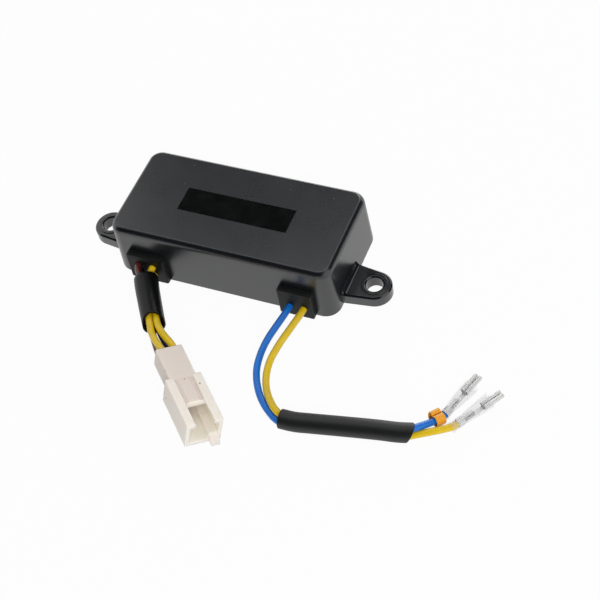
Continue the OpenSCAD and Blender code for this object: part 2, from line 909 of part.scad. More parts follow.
// Four tabs, each with the crimp that takes its wire
module plug_contacts() {
    tip = 1;
    tip_w = 1.6;
    color("#c9b37a")
        in_plug()
            at_pins() {
                along_x(barrel_x, blade_x - barrel_x, wire_d);
                translate([blade_x, -blade_w / 2, -blade_t / 2])
                    cube([cavity_x + blade_l - tip - blade_x, blade_w, blade_t]);
                translate([cavity_x + blade_l - tip, 0, -blade_t / 2])
                    linear_extrude(blade_t)
                        polygon([[0, -blade_w / 2], [tip, -tip_w / 2], [tip, tip_w / 2], [0, blade_w / 2]]);
            }
}

// Frame of a terminal: x along it from the end of the wire's insulation
module on_wire_end(route) {
    end = route[len(route) - 1];
    way = end - route[len(route) - 2];
    translate(end)
        rotate([0, 0, atan2(way[1], way[0])])
            children();
}

// Section of a receptacle: a floor, two sides that lean out from it and roll in over it
module receptacle_section() {
    seam = 0.1;
    spread = 0.5;
    side_x = receptacle_w / 2;
    floor_x = side_x - spread;
    floor_z = -receptacle_h / 2;
    roll_r = (side_x - seam / 2) / 2;
    roll_z = receptacle_h / 2 - roll_r;
    translate([-floor_x, floor_z])
        square([2 * floor_x, sheet_t]);
    for (side = [0, 1])
        mirror([side, 0]) {
            polygon([
                [floor_x - sheet_t, floor_z],
                [floor_x, floor_z],
                [side_x, roll_z],
                [side_x - sheet_t, roll_z]
            ]);
            translate([side_x - roll_r, roll_z])
                difference() {
                    circle(roll_r);
                    circle(roll_r - sheet_t);
                    translate([-roll_r, -roll_r])
                        square([2 * roll_r - sheet_t, roll_r]);
                }
        }
}

// Tinned receptacle: insulation grip, conductor barrel and the rolled mouth on one strip
module terminal() {
    floor_z = -receptacle_h / 2;
    grip_d = wire_d + 2 * wrap_fit;
    strip_w = 1.6;
    box_x = terminal_l - receptacle_l;
    crimp_x = 0.5;
    crimp_d = 2.2;
    difference() {
        along_x(-grip_l, grip_l, grip_d + 2 * sheet_t);
        along_x(-grip_l - over, grip_l + over, grip_d);
    }
    along_x(0, crimp_x + crimp_l, crimp_d);
    along_x(0, sheet_t, grip_d + 2 * sheet_t);
    translate([crimp_x, -strip_w / 2, floor_z])
        cube([box_x - crimp_x + sheet_t, strip_w, sheet_t * 2]);
    translate([box_x, 0, 0])
        rotate([90, 0, 90])
            linear_extrude(receptacle_l)
                receptacle_section();
}

module blue_terminal() {
    color("#c4c6c8")
        on_wire_end(blue_free) terminal();
}

module yellow_terminal() {
    color("#c4c6c8")
        on_wire_end(yellow_free) terminal();
}

// Section of a boot's mouth: an oval as wide as its two end circles allow
module boot_oval(w, h) {
    for (side = [-1, 1])
        translate([side * (w - h) / 2, 0])
            circle(d = h);
    square([w - h, h], center = true);
}

// Space between a boot's round neck and its oval mouth, shrunk by a wall and run out by a margin
module boot_space(shrink, margin, side) {
    slice = 0.01;
    hull($fn = 32) {
        translate([-boot_neck_l - margin, 0, 0])
            rotate([90, 0, 90])
                linear_extrude(slice)
                    circle(d = boot_neck_d - 2 * shrink);
        translate([boot_l - boot_neck_l + margin - slice, side * boot_side, boot_rise])
            rotate([90, 0, 90])
                linear_extrude(slice)
                    boot_oval(boot_w - 2 * shrink, boot_h - 2 * shrink);
    }
}

// Clear tapered boot over the crimps
module boot(side) {
    difference() {
        boot_space(0, 0, side);
        boot_space(boot_wall, 0.05, side);
    }
}

module blue_boot() {
    color("#dfe3e4", 0.5)
        on_wire_end(blue_free) boot(-1);
}

module yellow_boot() {
    color("#dfe3e4", 0.5)
        on_wire_end(yellow_free) boot(1);
}

// Wrapped marker: a ring round the wire, and an outer turn that stands off it and ends at a seam
module wire_marker() {
    start = blue_free[marker_from];
    way = blue_free[marker_to] - start;
    ring_r = wire_d / 2 + marker_fit + marker_t;
    seam_w = 0.3;
    seam_turn = 25;
    color("#f0a030")
        translate(start + marker_place * way)
            rotate([0, -asin(way[2] / norm(way)), atan2(way[1], way[0])])
                rotate([90, 0, 90])
                    linear_extrude(marker_l, center = true)
                        translate([0, marker_rise])
                            rotate(marker_turn)
                                difference() {
                                    union() {
                                        circle(ring_r);
                                        translate([marker_lift, 0])
                                            circle(marker_loop_r);
                                    }
                                    circle(ring_r - marker_t);
                                    difference() {
                                        translate([marker_lift, 0]) {
                                            circle(marker_loop_r - marker_t);
                                            rotate(seam_turn)
                                                translate([-seam_w / 2, 0])
                                                    square([seam_w, 2 * marker_loop_r]);
                                        }
                                        circle(ring_r);
                                    }
                                }
}

case();
potting_compound();
harness_grommet();
lead_grommet();
circuit_board();
filter_capacitor();
film_capacitor();
rectifier_diodes();
freewheel_diode();
zener_diode();
power_resistors();
small_resistors();
power_transistor();
driver_transistors();
trimmer();
solder_tails();
brown_wire();
yellow_wire_a();
yellow_wire_b();
navy_wire();
blue_lead();
yellow_lead();
harness_sleeve();
lead_sleeve();
plug_housing();
plug_contacts();
blue_terminal();
yellow_terminal();
blue_boot();
yellow_boot();
wire_marker();
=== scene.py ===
"""Dressed model of a potted automatic voltage regulator with its harness, plug and brush leads."""

import math

import bmesh
import bpy
from mathutils import Matrix, Vector, noise


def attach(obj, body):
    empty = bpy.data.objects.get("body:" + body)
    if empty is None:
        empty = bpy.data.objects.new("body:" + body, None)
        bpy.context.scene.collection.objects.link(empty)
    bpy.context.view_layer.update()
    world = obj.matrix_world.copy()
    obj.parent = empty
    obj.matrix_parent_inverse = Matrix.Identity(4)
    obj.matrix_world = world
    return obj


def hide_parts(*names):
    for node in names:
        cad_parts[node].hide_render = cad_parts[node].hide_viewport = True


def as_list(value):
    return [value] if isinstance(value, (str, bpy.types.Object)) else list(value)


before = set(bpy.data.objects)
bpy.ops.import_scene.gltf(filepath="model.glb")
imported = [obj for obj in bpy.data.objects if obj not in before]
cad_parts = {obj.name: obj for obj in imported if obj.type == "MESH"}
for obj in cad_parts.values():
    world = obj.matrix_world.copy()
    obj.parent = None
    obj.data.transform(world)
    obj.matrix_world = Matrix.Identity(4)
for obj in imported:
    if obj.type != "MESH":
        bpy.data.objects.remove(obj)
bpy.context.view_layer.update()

bl_info = {
    "name": "Voltage Regulator",
    "version": (1, 0, 0),
    "blender": (4, 5, 0),
    "location": "View3D > Sidebar > Regulator",
    "description": "Dresses the packed voltage regulator with its visible pieces and finishes",
    "category": "Object",
}

MM = 0.001
# The case's smooth ears start this far from its middle, in millimetres
EAR_FROM = 45.15
# The polished field lies between these depths below the top, in millimetres
FIELD_DEPTHS = (0.02, 0.5)
# Spacing of the points on a drawn wire, a sleeve and the marker's strip, in millimetres
WIRE_STEP = 4.0
SLEEVE_STEP = 1.2
MARKER_STEP = 0.2
# Share of a sleeve's length from which its end's cut takes hold
CUT_FROM = 0.6
WIRE_ROUGHNESS = 0.27
# Points of a CAD mesh this near are one, in millimetres
WELD = 0.002
# Faces that meet at less than this are one flat face, in degrees
FLAT_ANGLE = 0.5
# An edge of a face narrower than this many roundings stays crisp
NARROW = 2.2
# Smooth faces of a new mesh meet at less than this, in degrees
SHARP_ANGLE = 50

# Routes of the wires, in millimetres, as in the part's source
BROWN_ROUTE = [
    (-32.6, -15, 8.6), (-32.6, -24.8, 8.6), (-29.1, -28.9, 8.3), (-26.8, -33.6, 7.2),
    (-23.5, -38.6, 6.5), (-19.8, -43.5, 6), (-16.1, -48.2, 6), (-13, -52.2, 6.3),
    (-7.58, -58.498, 7.013), (-2.904, -63.013, 7.013),
]
YELLOW_A_ROUTE = [
    (-26.8, -15, 8.6), (-26.8, -24.8, 8.6), (-26.7, -27.5, 8.3), (-24.9, -32.4, 8.8),
    (-22.3, -37.7, 8.8), (-19.3, -43.2, 8.7), (-16.1, -48.2, 8.8), (-13, -52.2, 9.3),
    (-6.764, -57.653, 10.627), (-2.089, -62.169, 10.627),
]
YELLOW_B_ROUTE = [
    (-26.8, -15, 4.8), (-26.8, -24.8, 4.8), (-26.7, -27.5, 5.4), (-23.6, -31.6, 6.6),
    (-20.3, -36.4, 7.3), (-17.1, -41.7, 8.2), (-13.9, -46.6, 8.8), (-10.5, -50, 9.4),
    (-3.725, -54.506, 9.206), (0.951, -59.022, 9.206),
]
NAVY_ROUTE = [
    (-32.6, -15, 4.8), (-32.6, -24.8, 4.8), (-29.1, -28.9, 5.4), (-25.5, -32.8, 5),
    (-21.5, -37.3, 5), (-17.5, -42, 5.5), (-13.9, -46.6, 6), (-10.8, -50.2, 6.3),
    (-4.541, -55.351, 5.592), (0.135, -59.866, 5.592),
]
BLUE_ROUTE = [
    (28.45, -15, 5.5), (28.45, -24.8, 5.5), (28, -28.8, 5.4), (26.9, -34.4, 5),
    (25.9, -40.5, 4.3), (25.8, -46.1, 3.5), (26.3, -50.1, 2.9), (27.6, -54, 2.4),
    (29.7, -57.9, 2.1), (32.6, -61.7, 1.9), (36.1, -65, 1.9), (39.6, -67.5, 2.2),
    (43.2, -69.4, 2.7), (48.3, -69.4, 3.1), (54.8, -68.2, 3.8), (65.6, -65.6, 4.6),
    (76, -62.6, 4.9), (84.9, -60.6, 4.7), (87, -59.9, 4.7), (88.7, -58.6, 4.4),
    (90.9, -56.1, 3.4), (93.2, -53.5, 2.6), (95.2, -50.9, 2.1), (96.4, -47.4, 2.1),
]
YELLOW_ROUTE = [
    (33.95, -15, 5.5), (33.95, -24.8, 5.5), (33.3, -28.3, 5.4), (32.4, -33, 5.1),
    (31.2, -38.2, 4.5), (30.4, -42.7, 3.8), (30, -47, 3.1), (30.6, -51.7, 2.5),
    (32.3, -56.3, 2.4), (34.5, -59.9, 2.9), (37.1, -63, 3.6), (39.9, -65.6, 4.1),
    (43.2, -67.3, 4.2), (48.1, -66.7, 3.9), (54.2, -65.5, 3.2), (65.2, -64, 2.4),
    (76, -63.1, 2.1), (85.3, -61.9, 2.3), (88.4, -60.4, 2.3), (92.5, -58.4, 2.8),
    (96.3, -56.2, 2.8), (100.1, -52.9, 2.1), (102.1, -49.9, 2.1),
]
HARNESS_SLEEVE_ROUTE = [
    (-27.9, -28.2, 6.9), (-26.6, -30.4, 6.9), (-25.2, -32.6, 6.9), (-21.9, -37.5, 6.9),
    (-18.4, -42.6, 7.1), (-15, -47.4, 7.4),
]
LEAD_SLEEVE_ROUTE = [
    (43, -68.3, 3.5), (48, -68.1, 3.5), (53.5, -67.1, 3.5), (65.4, -64.8, 3.5),
    (77.3, -62.6, 3.5), (83, -61.7, 3.5), (87.2, -60.7, 3.5),
]
# The marker sits midway between these two points of the blue lead
MARKER_BETWEEN = (21, 22)
# Section of its bent strip, aside and up from the middle of the lead, in millimetres
MARKER_SECTION = [
    (-0.72, 1.5), (-0.55, 1.85), (-0.05, 2.2), (0.7, 2.3), (1.5, 1.9), (2.05, 1.1), (2.2, 0),
    (1.85, -1.05), (1.1, -1.7), (0, -1.95), (-1, -1.95), (-2, -1.9), (-2.85, -1.6), (-3.25, -0.8),
    (-3.3, 0.3), (-3.05, 1.3), (-2.5, 2), (-1.85, 2.1), (-1.4, 1.75), (-1.3, 1.25),
]

# The plug's frame: place of its rear edge, turn about the vertical and roll about its length
PLUG_PLACE = (-5.4, -58.4, 4.448)
PLUG_TURN = -44.0
PLUG_ROLL = -18.0

# Camera of the photograph: place, right and up directions, and lens on a 36 mm frame
CAMERA_PLACE = (199.97, -282.64, 402.07)
CAMERA_RIGHT = (0.9165, 0.3734, -0.1434)
CAMERA_UP = (-0.2190, 0.7685, 0.6012)
CAMERA_LENS = 83.83
CAMERA_FRAME = 36.0


def to_linear(hex_colour):
    """Linear RGBA of an sRGB hex colour."""
    channels = [int(hex_colour[i : i + 2], 16) / 255 for i in (1, 3, 5)]
    return [c / 12.92 if c <= 0.04045 else ((c + 0.055) / 1.055) ** 2.4 for c in channels] + [1.0]


def per_mm(size):
    """Scale at which one cell of a pattern on Object coordinates is that many millimetres."""
    return 1 / (size * MM)


def shade(colour, factor):
    """A colour made darker or lighter."""
    return [min(1.0, c * factor) for c in colour[:3]] + [1.0]


def colour_property(name, description, hex_colour):
    return bpy.props.FloatVectorProperty(
        name=name,
        description=description,
        subtype="COLOR",
        size=4,
        min=0.0,
        max=1.0,
        default=to_linear(hex_colour),
    )


def length_property(name, description, size):
    return bpy.props.FloatProperty(
        name=name,
        description=description,
        default=size * MM,
        min=0.0,
        precision=5,
        subtype="DISTANCE",
        unit="LENGTH",
    )


class RegulatorSizes(bpy.types.PropertyGroup):
    """Sizes of the dressed pieces."""

    wire_d: length_property("Wire diameter", "Diameter of every wire over its insulation", 2.6)
    harness_sleeve_d: length_property("Harness sleeve", "Diameter of the harness sleeve", 8.8)
    harness_sleeve_wall: length_property("Harness sleeve wall", "Wall of the harness sleeve", 0.8)
    lead_sleeve_d: length_property("Lead sleeve", "Diameter of the lead sleeve", 7.0)
    lead_sleeve_wall: length_property("Lead sleeve wall", "Wall of the lead sleeve", 0.6)
    case_edge: length_property("Case edge", "Rounding of the case's crisp edges", 0.15)
    top_edge_r: length_property("Top edge", "Rounding of the case's top edge in the frame", 1.21)
    top_edge_in: length_property("Top edge inwards", "Reach of the rounding over the top", 1.9)
    top_edge_run: length_property("Top edge run", "Reach of the rounding down the walls", 3.2)
    rubber_edge: length_property("Rubber edge", "Rounding of the grommets' edges", 0.25)
    metal_edge: length_property("Metal edge", "Rounding of the terminals' edges", 0.05)
    boot_wall: length_property("Boot wall", "Wall of the clear boots", 0.25)
    marker_l: length_property("Marker length", "Length of the marker along the wire", 3.6)
    marker_t: length_property("Marker thickness", "Thickness of the marker's strip", 0.42)
    field_l: length_property("Field length", "Length of the polished field on the case", 44.0)
    field_w: length_property("Field width", "Width of the polished field on the case", 11.0)


class RegulatorColours(bpy.types.PropertyGroup):
    """Colours of the dressed pieces."""

    case: colour_property("Case", "Moulded case", "#14161a")
    field: colour_property("Field", "Polished field on the case", "#0d0e0e")
    rubber: colour_property("Rubber", "Grommets", "#121313")
    harness_sleeve: colour_property("Harness sleeve", "Black sleeve on the harness", "#0c0d0d")
    lead_sleeve: colour_property("Lead sleeve", "Dull black sleeve on the leads", "#161717")
    blue: colour_property("Blue wire", "Insulation of the blue lead", "#0a6fd0")
    yellow: colour_property("Yellow wire", "Insulation of the yellow wires", "#e3c00e")
    brown: colour_property("Brown wire", "Insulation of the brown wire", "#57201c")
    navy: colour_property("Dark blue wire", "Insulation of the dark blue wire", "#17243f")
    nylon: colour_property("Nylon", "Plug housing", "#faeee4")
    tin: colour_property("Tin", "Tinned terminals", "#e6e6e5")
    boot: colour_property("Boot", "Clear boots", "#f6f8f7")
    marker: colour_property("Marker", "Bent marker", "#f5a727")


def add_node(tree, kind, inputs=None, **settings):
    """Adds a node with its settings; an input takes a value or the output that feeds it."""
    node = tree.nodes.new(kind)
    for name, value in settings.items():
        setattr(node, name, value)
    for name, value in (inputs or {}).items():
        if isinstance(value, bpy.types.NodeSocket):
            tree.links.new(value, node.inputs[name])
        else:
            node.inputs[name].default_value = value
    return node


def empty_material(name):
    """A node material with nothing in it, and its tree."""
    material = bpy.data.materials.new(name)
    material.use_nodes = True
    material.node_tree.nodes.clear()
    return material, material.node_tree


def new_material(name):
    """A node material, its tree and the Object coordinates in it."""
    material, tree = empty_material(name)
    return material, tree, add_node(tree, "ShaderNodeTexCoord").outputs["Object"]


def set_surface(tree, shader):
    add_node(tree, "ShaderNodeOutputMaterial", {"Surface": shader.outputs[0]})


def moulded_abs(name, colour, roughness, grain_strength):
    """Black ABS as it left the mould: satin or glossy, with handling marks and a little dust."""
    material, tree, place = new_material(name)
    marks = add_node(tree, "ShaderNodeTexNoise", {
        "Vector": place, "Scale": per_mm(14), "Detail": 5.0, "Roughness": 0.6,
    })
    tone = add_node(tree, "ShaderNodeMix", {
        "Factor": marks.outputs["Fac"],
        "A": shade(colour, 0.82),
        "B": shade(colour, 1.22),
    }, data_type="RGBA")
    dust = add_node(tree, "ShaderNodeTexVoronoi", {
        "Vector": place, "Scale": per_mm(7), "Randomness": 1.0,
    })
    fleck = add_node(tree, "ShaderNodeMapRange", {
        "Value": dust.outputs["Distance"],
        "From Min": 0.02, "From Max": 0.036, "To Min": 0.30, "To Max": 0.0,
    })
    dusty = add_node(tree, "ShaderNodeMix", {
        "Factor": fleck.outputs["Result"],
        "A": tone.outputs["Result"],
        "B": to_linear("#b9b6b0"),
    }, data_type="RGBA")
    sheen = add_node(tree, "ShaderNodeMapRange", {
        "Value": marks.outputs["Fac"],
        "From Min": 0.3, "From Max": 0.7, "To Min": roughness - 0.014, "To Max": roughness + 0.014,
    })
    # The mould's texture is about 0.1 mm; it is drawn at 0.35 mm so that it shows
    grain = add_node(tree, "ShaderNodeTexNoise", {
        "Vector": place, "Scale": per_mm(0.35), "Detail": 2.0,
    })
    bump = add_node(tree, "ShaderNodeBump", {
        "Height": grain.outputs["Fac"], "Strength": grain_strength, "Distance": 0.05 * MM,
    })
    shader = add_node(tree, "ShaderNodeBsdfPrincipled", {
        "Base Color": dusty.outputs["Result"],
        "Roughness": sheen.outputs["Result"],
        "Normal": bump.outputs["Normal"],
        "IOR": 1.74,
    })
    set_surface(tree, shader)
    return material


def polished_abs(colour):
    """The same ABS where the mould was polished: near black and glossy, with fine dust."""
    material, tree, place = new_material("polished_black_abs")
    dust = add_node(tree, "ShaderNodeTexVoronoi", {"Vector": place, "Scale": per_mm(4)})
    fleck = add_node(tree, "ShaderNodeMapRange", {
        "Value": dust.outputs["Distance"],
        "From Min": 0.03, "From Max": 0.05, "To Min": 0.35, "To Max": 0.0,
    })
    tone = add_node(tree, "ShaderNodeMix", {
        "Factor": fleck.outputs["Result"], "A": list(colour), "B": to_linear("#8d8a80"),
    }, data_type="RGBA")
    haze = add_node(tree, "ShaderNodeTexNoise", {
        "Vector": place, "Scale": per_mm(5), "Detail": 4.0,
    })
    sheen = add_node(tree, "ShaderNodeMapRange", {
        "Value": haze.outputs["Fac"],
        "From Min": 0.3, "From Max": 0.7, "To Min": 0.10, "To Max": 0.2,
    })
    shader = add_node(tree, "ShaderNodeBsdfPrincipled", {
        "Base Color": tone.outputs["Result"],
        "Roughness": sheen.outputs["Result"],
        "Specular IOR Level": 0.25,
        "IOR": 1.5,
    })
    set_surface(tree, shader)
    return material


def moulded_rubber(colour):
    """Black nitrile rubber from a plain mould: dull, with a bloom that greys it unevenly."""
    material, tree, place = new_material("moulded_black_rubber")
    bloom = add_node(tree, "ShaderNodeTexNoise", {
        "Vector": place, "Scale": per_mm(3), "Detail": 4.0,
    })
    tone = add_node(tree, "ShaderNodeMix", {
        "Factor": bloom.outputs["Fac"],
        "A": shade(colour, 0.7),
        "B": shade(colour, 1.5),
    }, data_type="RGBA")
    grain = add_node(tree, "ShaderNodeTexNoise", {
        "Vector": place, "Scale": per_mm(0.3), "Detail": 2.0,
    })
    bump = add_node(tree, "ShaderNodeBump", {
        "Height": grain.outputs["Fac"], "Strength": 0.2, "Distance": 0.05 * MM,
    })
    shader = add_node(tree, "ShaderNodeBsdfPrincipled", {
        "Base Color": tone.outputs["Result"],
        "Roughness": 0.5,
        "Specular IOR Level": 0.2,
        "Normal": bump.outputs["Normal"],
        "IOR": 1.52,
    })
    set_surface(tree, shader)
    return material


def extruded_pvc(name, colour, roughness, gloss=0.5):
    """Extruded PVC insulation or sleeving: smooth satin, with faint draw marks and uneven tone."""
    material, tree, place = new_material(name)
    tint = add_node(tree, "ShaderNodeTexNoise", {
        "Vector": place, "Scale": per_mm(4), "Detail": 3.0,
    })
    tone = add_node(tree, "ShaderNodeMix", {
        "Factor": tint.outputs["Fac"],
        "A": shade(colour, 0.86),
        "B": shade(colour, 1.14),
    }, data_type="RGBA")
    marks = add_node(tree, "ShaderNodeTexNoise", {
        "Vector": place, "Scale": per_mm(0.5), "Detail": 2.0,
    })
    bump = add_node(tree, "ShaderNodeBump", {
        "Height": marks.outputs["Fac"], "Strength": 0.1, "Distance": 0.05 * MM,
    })
    shader = add_node(tree, "ShaderNodeBsdfPrincipled", {
        "Base Color": tone.outputs["Result"],
        "Roughness": roughness,
        "Specular IOR Level": gloss,
        "Normal": bump.outputs["Normal"],
        "IOR": 1.53,
    })
    set_surface(tree, shader)
    return material


def natural_nylon(colour):
    """Unfilled moulded nylon: milky, satin, burnt specks; painted shade where solid, painted glow
    inside.
    """
    material, tree, place = new_material("moulded_natural_nylon")
    cloud = add_node(tree, "ShaderNodeTexNoise", {
        "Vector": place, "Scale": per_mm(9), "Detail": 3.0,
    })
    tone = add_node(tree, "ShaderNodeMix", {
        "Factor": cloud.outputs["Fac"],
        "A": shade(colour, 0.93),
        "B": shade(colour, 1.05),
    }, data_type="RGBA")
    # Painted shade: the solid rear block and the latch with its channel are coloured darker where
    # they would swallow light
    depth = add_node(tree, "ShaderNodeAttribute", attribute_name="depth")
    with_painted_shade = add_node(tree, "ShaderNodeMix", {
        "Factor": depth.outputs["Fac"],
        "A": tone.outputs["Result"],
        "B": shade(colour, 0.83),
    }, data_type="RGBA")
    # Painted light: the inside of the thin-walled shroud is coloured brighter, standing in for
    # light its walls pass on
    painted_glow_mask = add_node(tree, "ShaderNodeAttribute", attribute_name="painted_glow_mask")
    with_painted_glow = add_node(tree, "ShaderNodeMix", {
        "Factor": painted_glow_mask.outputs["Fac"], "A": with_painted_shade.outputs["Result"], "B": to_linear("#fef2e6"),
    }, data_type="RGBA")
    burnt = add_node(tree, "ShaderNodeTexVoronoi", {"Vector": place, "Scale": per_mm(5)})
    speck = add_node(tree, "ShaderNodeMapRange", {
        "Value": burnt.outputs["Distance"],
        "From Min": 0.05, "From Max": 0.09, "To Min": 0.8, "To Max": 0.0,
    })
    specked = add_node(tree, "ShaderNodeMix", {
        "Factor": speck.outputs["Result"],
        "A": with_painted_glow.outputs["Result"],
        "B": to_linear("#6f5d3e"),
    }, data_type="RGBA")
    flow = add_node(tree, "ShaderNodeTexNoise", {
        "Vector": place, "Scale": per_mm(1.2), "Detail": 2.0,
    })
    bump = add_node(tree, "ShaderNodeBump", {
        "Height": flow.outputs["Fac"], "Strength": 0.08, "Distance": 0.05 * MM,
    })
    shader = add_node(tree, "ShaderNodeBsdfPrincipled", {
        "Base Color": specked.outputs["Result"],
        "Roughness": 0.42,
        "Normal": bump.outputs["Normal"],
        "IOR": 1.53,
        "Subsurface Weight": 1.0,
        "Subsurface Radius": (1.0, 0.95, 0.85),
        "Subsurface Scale": 1.8 * MM,
    })
    set_surface(tree, shader)
    return material


def bright_metal(name, colour, roughness):
    """Plated or drawn sheet metal: bright, with fine scratches and a stained tone."""
    material, tree, place = new_material(name)
    stain = add_node(tree, "ShaderNodeTexNoise", {
        "Vector": place, "Scale": per_mm(1.6), "Detail": 4.0,
    })
    tone = add_node(tree, "ShaderNodeMix", {
        "Factor": stain.outputs["Fac"],
        "A": shade(colour, 0.88),
        "B": list(colour),
    }, data_type="RGBA")
    sheen = add_node(tree, "ShaderNodeMapRange", {
        "Value": stain.outputs["Fac"],
        "From Min": 0.3, "From Max": 0.7, "To Min": roughness - 0.06, "To Max": roughness + 0.1,
    })
    scratch = add_node(tree, "ShaderNodeTexNoise", {
        "Vector": place, "Scale": per_mm(0.25), "Detail": 2.0,
    })
    bump = add_node(tree, "ShaderNodeBump", {
        "Height": scratch.outputs["Fac"], "Strength": 0.05, "Distance": 0.03 * MM,
    })
    shader = add_node(tree, "ShaderNodeBsdfPrincipled", {
        "Base Color": tone.outputs["Result"],
        "Metallic": 1.0,
        "Roughness": sheen.outputs["Result"],
        "Normal": bump.outputs["Normal"],
    })
    set_surface(tree, shader)
    return material


def clear_pvc(colour):
    """Dipped clear PVC film: see-through, a little milky, with a wet gloss."""
    material, tree, place = new_material("dipped_clear_pvc")
    haze = add_node(tree, "ShaderNodeTexNoise", {
        "Vector": place, "Scale": per_mm(2.5), "Detail": 2.0,
    })
    tint = add_node(tree, "ShaderNodeMix", {
        "Factor": haze.outputs["Fac"],
        "A": shade(colour, 0.7),
        "B": list(colour),
    }, data_type="RGBA")
    bump = add_node(tree, "ShaderNodeBump", {
        "Height": haze.outputs["Fac"], "Strength": 0.4, "Distance": 0.2 * MM,
    })
    # A film this thin hardly bends the view, so each of its faces only veils what lies behind
    shader = add_node(tree, "ShaderNodeBsdfPrincipled", {
        "Base Color": tint.outputs["Result"],
        "Roughness": 0.1,
        "IOR": 1.53,
        "Normal": bump.outputs["Normal"],
        "Alpha": 0.14,
    })
    set_surface(tree, shader)
    return material


def vinyl_strip(colour):
    """Calendered vinyl strip: smooth satin, creased, with painted shade in the creases."""
    material, tree, place = new_material("calendered_orange_vinyl")
    crease_and_shade = add_node(tree, "ShaderNodeTexNoise", {
        "Vector": place, "Scale": per_mm(1.5), "Detail": 3.0,
    })
    # Painted shade: the tone is darker where the crease bump lies low
    tone = add_node(tree, "ShaderNodeMix", {
        "Factor": crease_and_shade.outputs["Fac"],
        "A": shade(colour, 0.86),
        "B": shade(colour, 1.1),
    }, data_type="RGBA")
    bump = add_node(tree, "ShaderNodeBump", {
        "Height": crease_and_shade.outputs["Fac"], "Strength": 0.25, "Distance": 0.1 * MM,
    })
    shader = add_node(tree, "ShaderNodeBsdfPrincipled", {
        "Base Color": tone.outputs["Result"],
        "Roughness": 0.38,
        "Normal": bump.outputs["Normal"],
        "IOR": 1.53,
    })
    set_surface(tree, shader)
    return material


def coated_body(name, hex_colour, roughness, cell):
    """Coating, epoxy or laminate of the potted pieces: an even tone broken by a fine mottle."""
    material, tree, place = new_material(name)
    colour = to_linear(hex_colour)
    mottle = add_node(tree, "ShaderNodeTexNoise", {
        "Vector": place, "Scale": per_mm(cell), "Detail": 3.0,
    })
    tone = add_node(tree, "ShaderNodeMix", {
        "Factor": mottle.outputs["Fac"],
        "A": shade(colour, 0.8),
        "B": shade(colour, 1.2),
    }, data_type="RGBA")
    bump = add_node(tree, "ShaderNodeBump", {
        "Height": mottle.outputs["Fac"], "Strength": 0.15, "Distance": 0.1 * MM,
    })
    shader = add_node(tree, "ShaderNodeBsdfPrincipled", {
        "Base Color": tone.outputs["Result"],
        "Roughness": roughness,
        "Normal": bump.outputs["Normal"],
    })
    set_surface(tree, shader)
    return material


def in_metres(route):
    return [Vector(point) * MM for point in route]


def sizes():
    return bpy.context.scene.regulator_sizes


def colours():
    return bpy.context.scene.regulator_colours


def add_piece(name, data, material, slot, *nodes):
    """Puts a finished piece on the part's body in place of its CAD nodes."""
    piece = bpy.data.objects.new(name, data)
    bpy.context.scene.collection.objects.link(piece)
    if not data.materials:
        data.materials.append(material)
    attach(piece, "root")
    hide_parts(*nodes)
    return piece


def finish_mesh(bm, name):
    """Mesh of a finished bmesh, smooth except where its faces meet sharply."""
    mesh = bpy.data.meshes.new(name)
    bm.to_mesh(mesh)
    bm.free()
    mesh.shade_smooth()
    mesh.set_sharp_from_angle(angle=math.radians(SHARP_ANGLE))
    return mesh


def even_normals(piece):
    """Keeps flat faces flat beside their rounded edges."""
    modifier = piece.modifiers.new("even_normals", "WEIGHTED_NORMAL")
    modifier.keep_sharp = True
    return piece


def rounded_copy(node, edge, segments=2, crisp_angle=35):
    """bmesh of a CAD node with its triangles joined and its crisp edges rounded."""
    bm = bmesh.new()
    bm.from_mesh(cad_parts[node].data)
    bmesh.ops.remove_doubles(bm, verts=bm.verts, dist=WELD * MM)
    flat = math.radians(FLAT_ANGLE)
    bmesh.ops.dissolve_limit(bm, angle_limit=flat, verts=bm.verts, edges=bm.edges)
    narrow = {
        f for f in bm.faces
        if f.calc_area() < NARROW * edge * max(e.calc_length() for e in f.edges)
    }
    crisp = [
        e for e in bm.edges
        if len(e.link_faces) == 2 and e.calc_face_angle(0.0) > math.radians(crisp_angle)
        and not narrow.intersection(e.link_faces)
    ]
    bmesh.ops.bevel(
        bm, geom=crisp, offset=edge, offset_type="OFFSET", segments=segments,
        profile=0.5, affect="EDGES", clamp_overlap=False, material=-1,
    )
    return bm


def smooth_line(route, step):
    """Points a step apart on one smooth curve through the route."""
    curve = bpy.data.curves.new("line", "CURVE")
    fill_spline(curve, route)
    holder = bpy.data.objects.new("line", curve)
    mesh = holder.to_mesh()
    raw = [v.co.copy() for v in mesh.vertices]
    holder.to_mesh_clear()
    bpy.data.objects.remove(holder)
    bpy.data.curves.remove(curve)
    gaps = [(b - a).length for a, b in zip(raw, raw[1:])]
    count = max(2, round(sum(gaps) / step))
    points, i, done = [], 0, 0.0
    for k in range(count + 1):
        want = sum(gaps) * k / count
        while i < len(gaps) - 1 and done + gaps[i] < want:
            done += gaps[i]
            i += 1
        points.append(raw[i].lerp(raw[i + 1], min(1.0, (want - done) / gaps[i])))
    return points


def fill_spline(curve, route):
    """One open spline with even handles through the route's points."""
    curve.dimensions = "3D"
    curve.resolution_u = 12
    spline = curve.splines.new("BEZIER")
    spline.bezier_points.add(len(route) - 1)
    for knot, point in zip(spline.bezier_points, route):
        knot.co = point
        knot.handle_left_type = knot.handle_right_type = "AUTO"
    return spline


def add_wire(node, route, material, slot):
    """A round insulated wire along its route."""
    name = node + "_run"
    curve = bpy.data.curves.new(name, "CURVE")
    spline = fill_spline(curve, smooth_line(in_metres(route), WIRE_STEP * MM))
    curve.bevel_depth = sizes().wire_d / 2
    curve.bevel_resolution = 5
    curve.use_fill_caps = True
    piece = add_piece(name, curve, material, slot, node)
    return piece, spline.calc_length()


def across(way):
    """Turn that sets Z along a way, with Y kept as near to upright as it goes."""
    side = way.cross(Vector((0, 0, 1))).normalized()
    return Matrix((side, side.cross(way), way)).transposed()


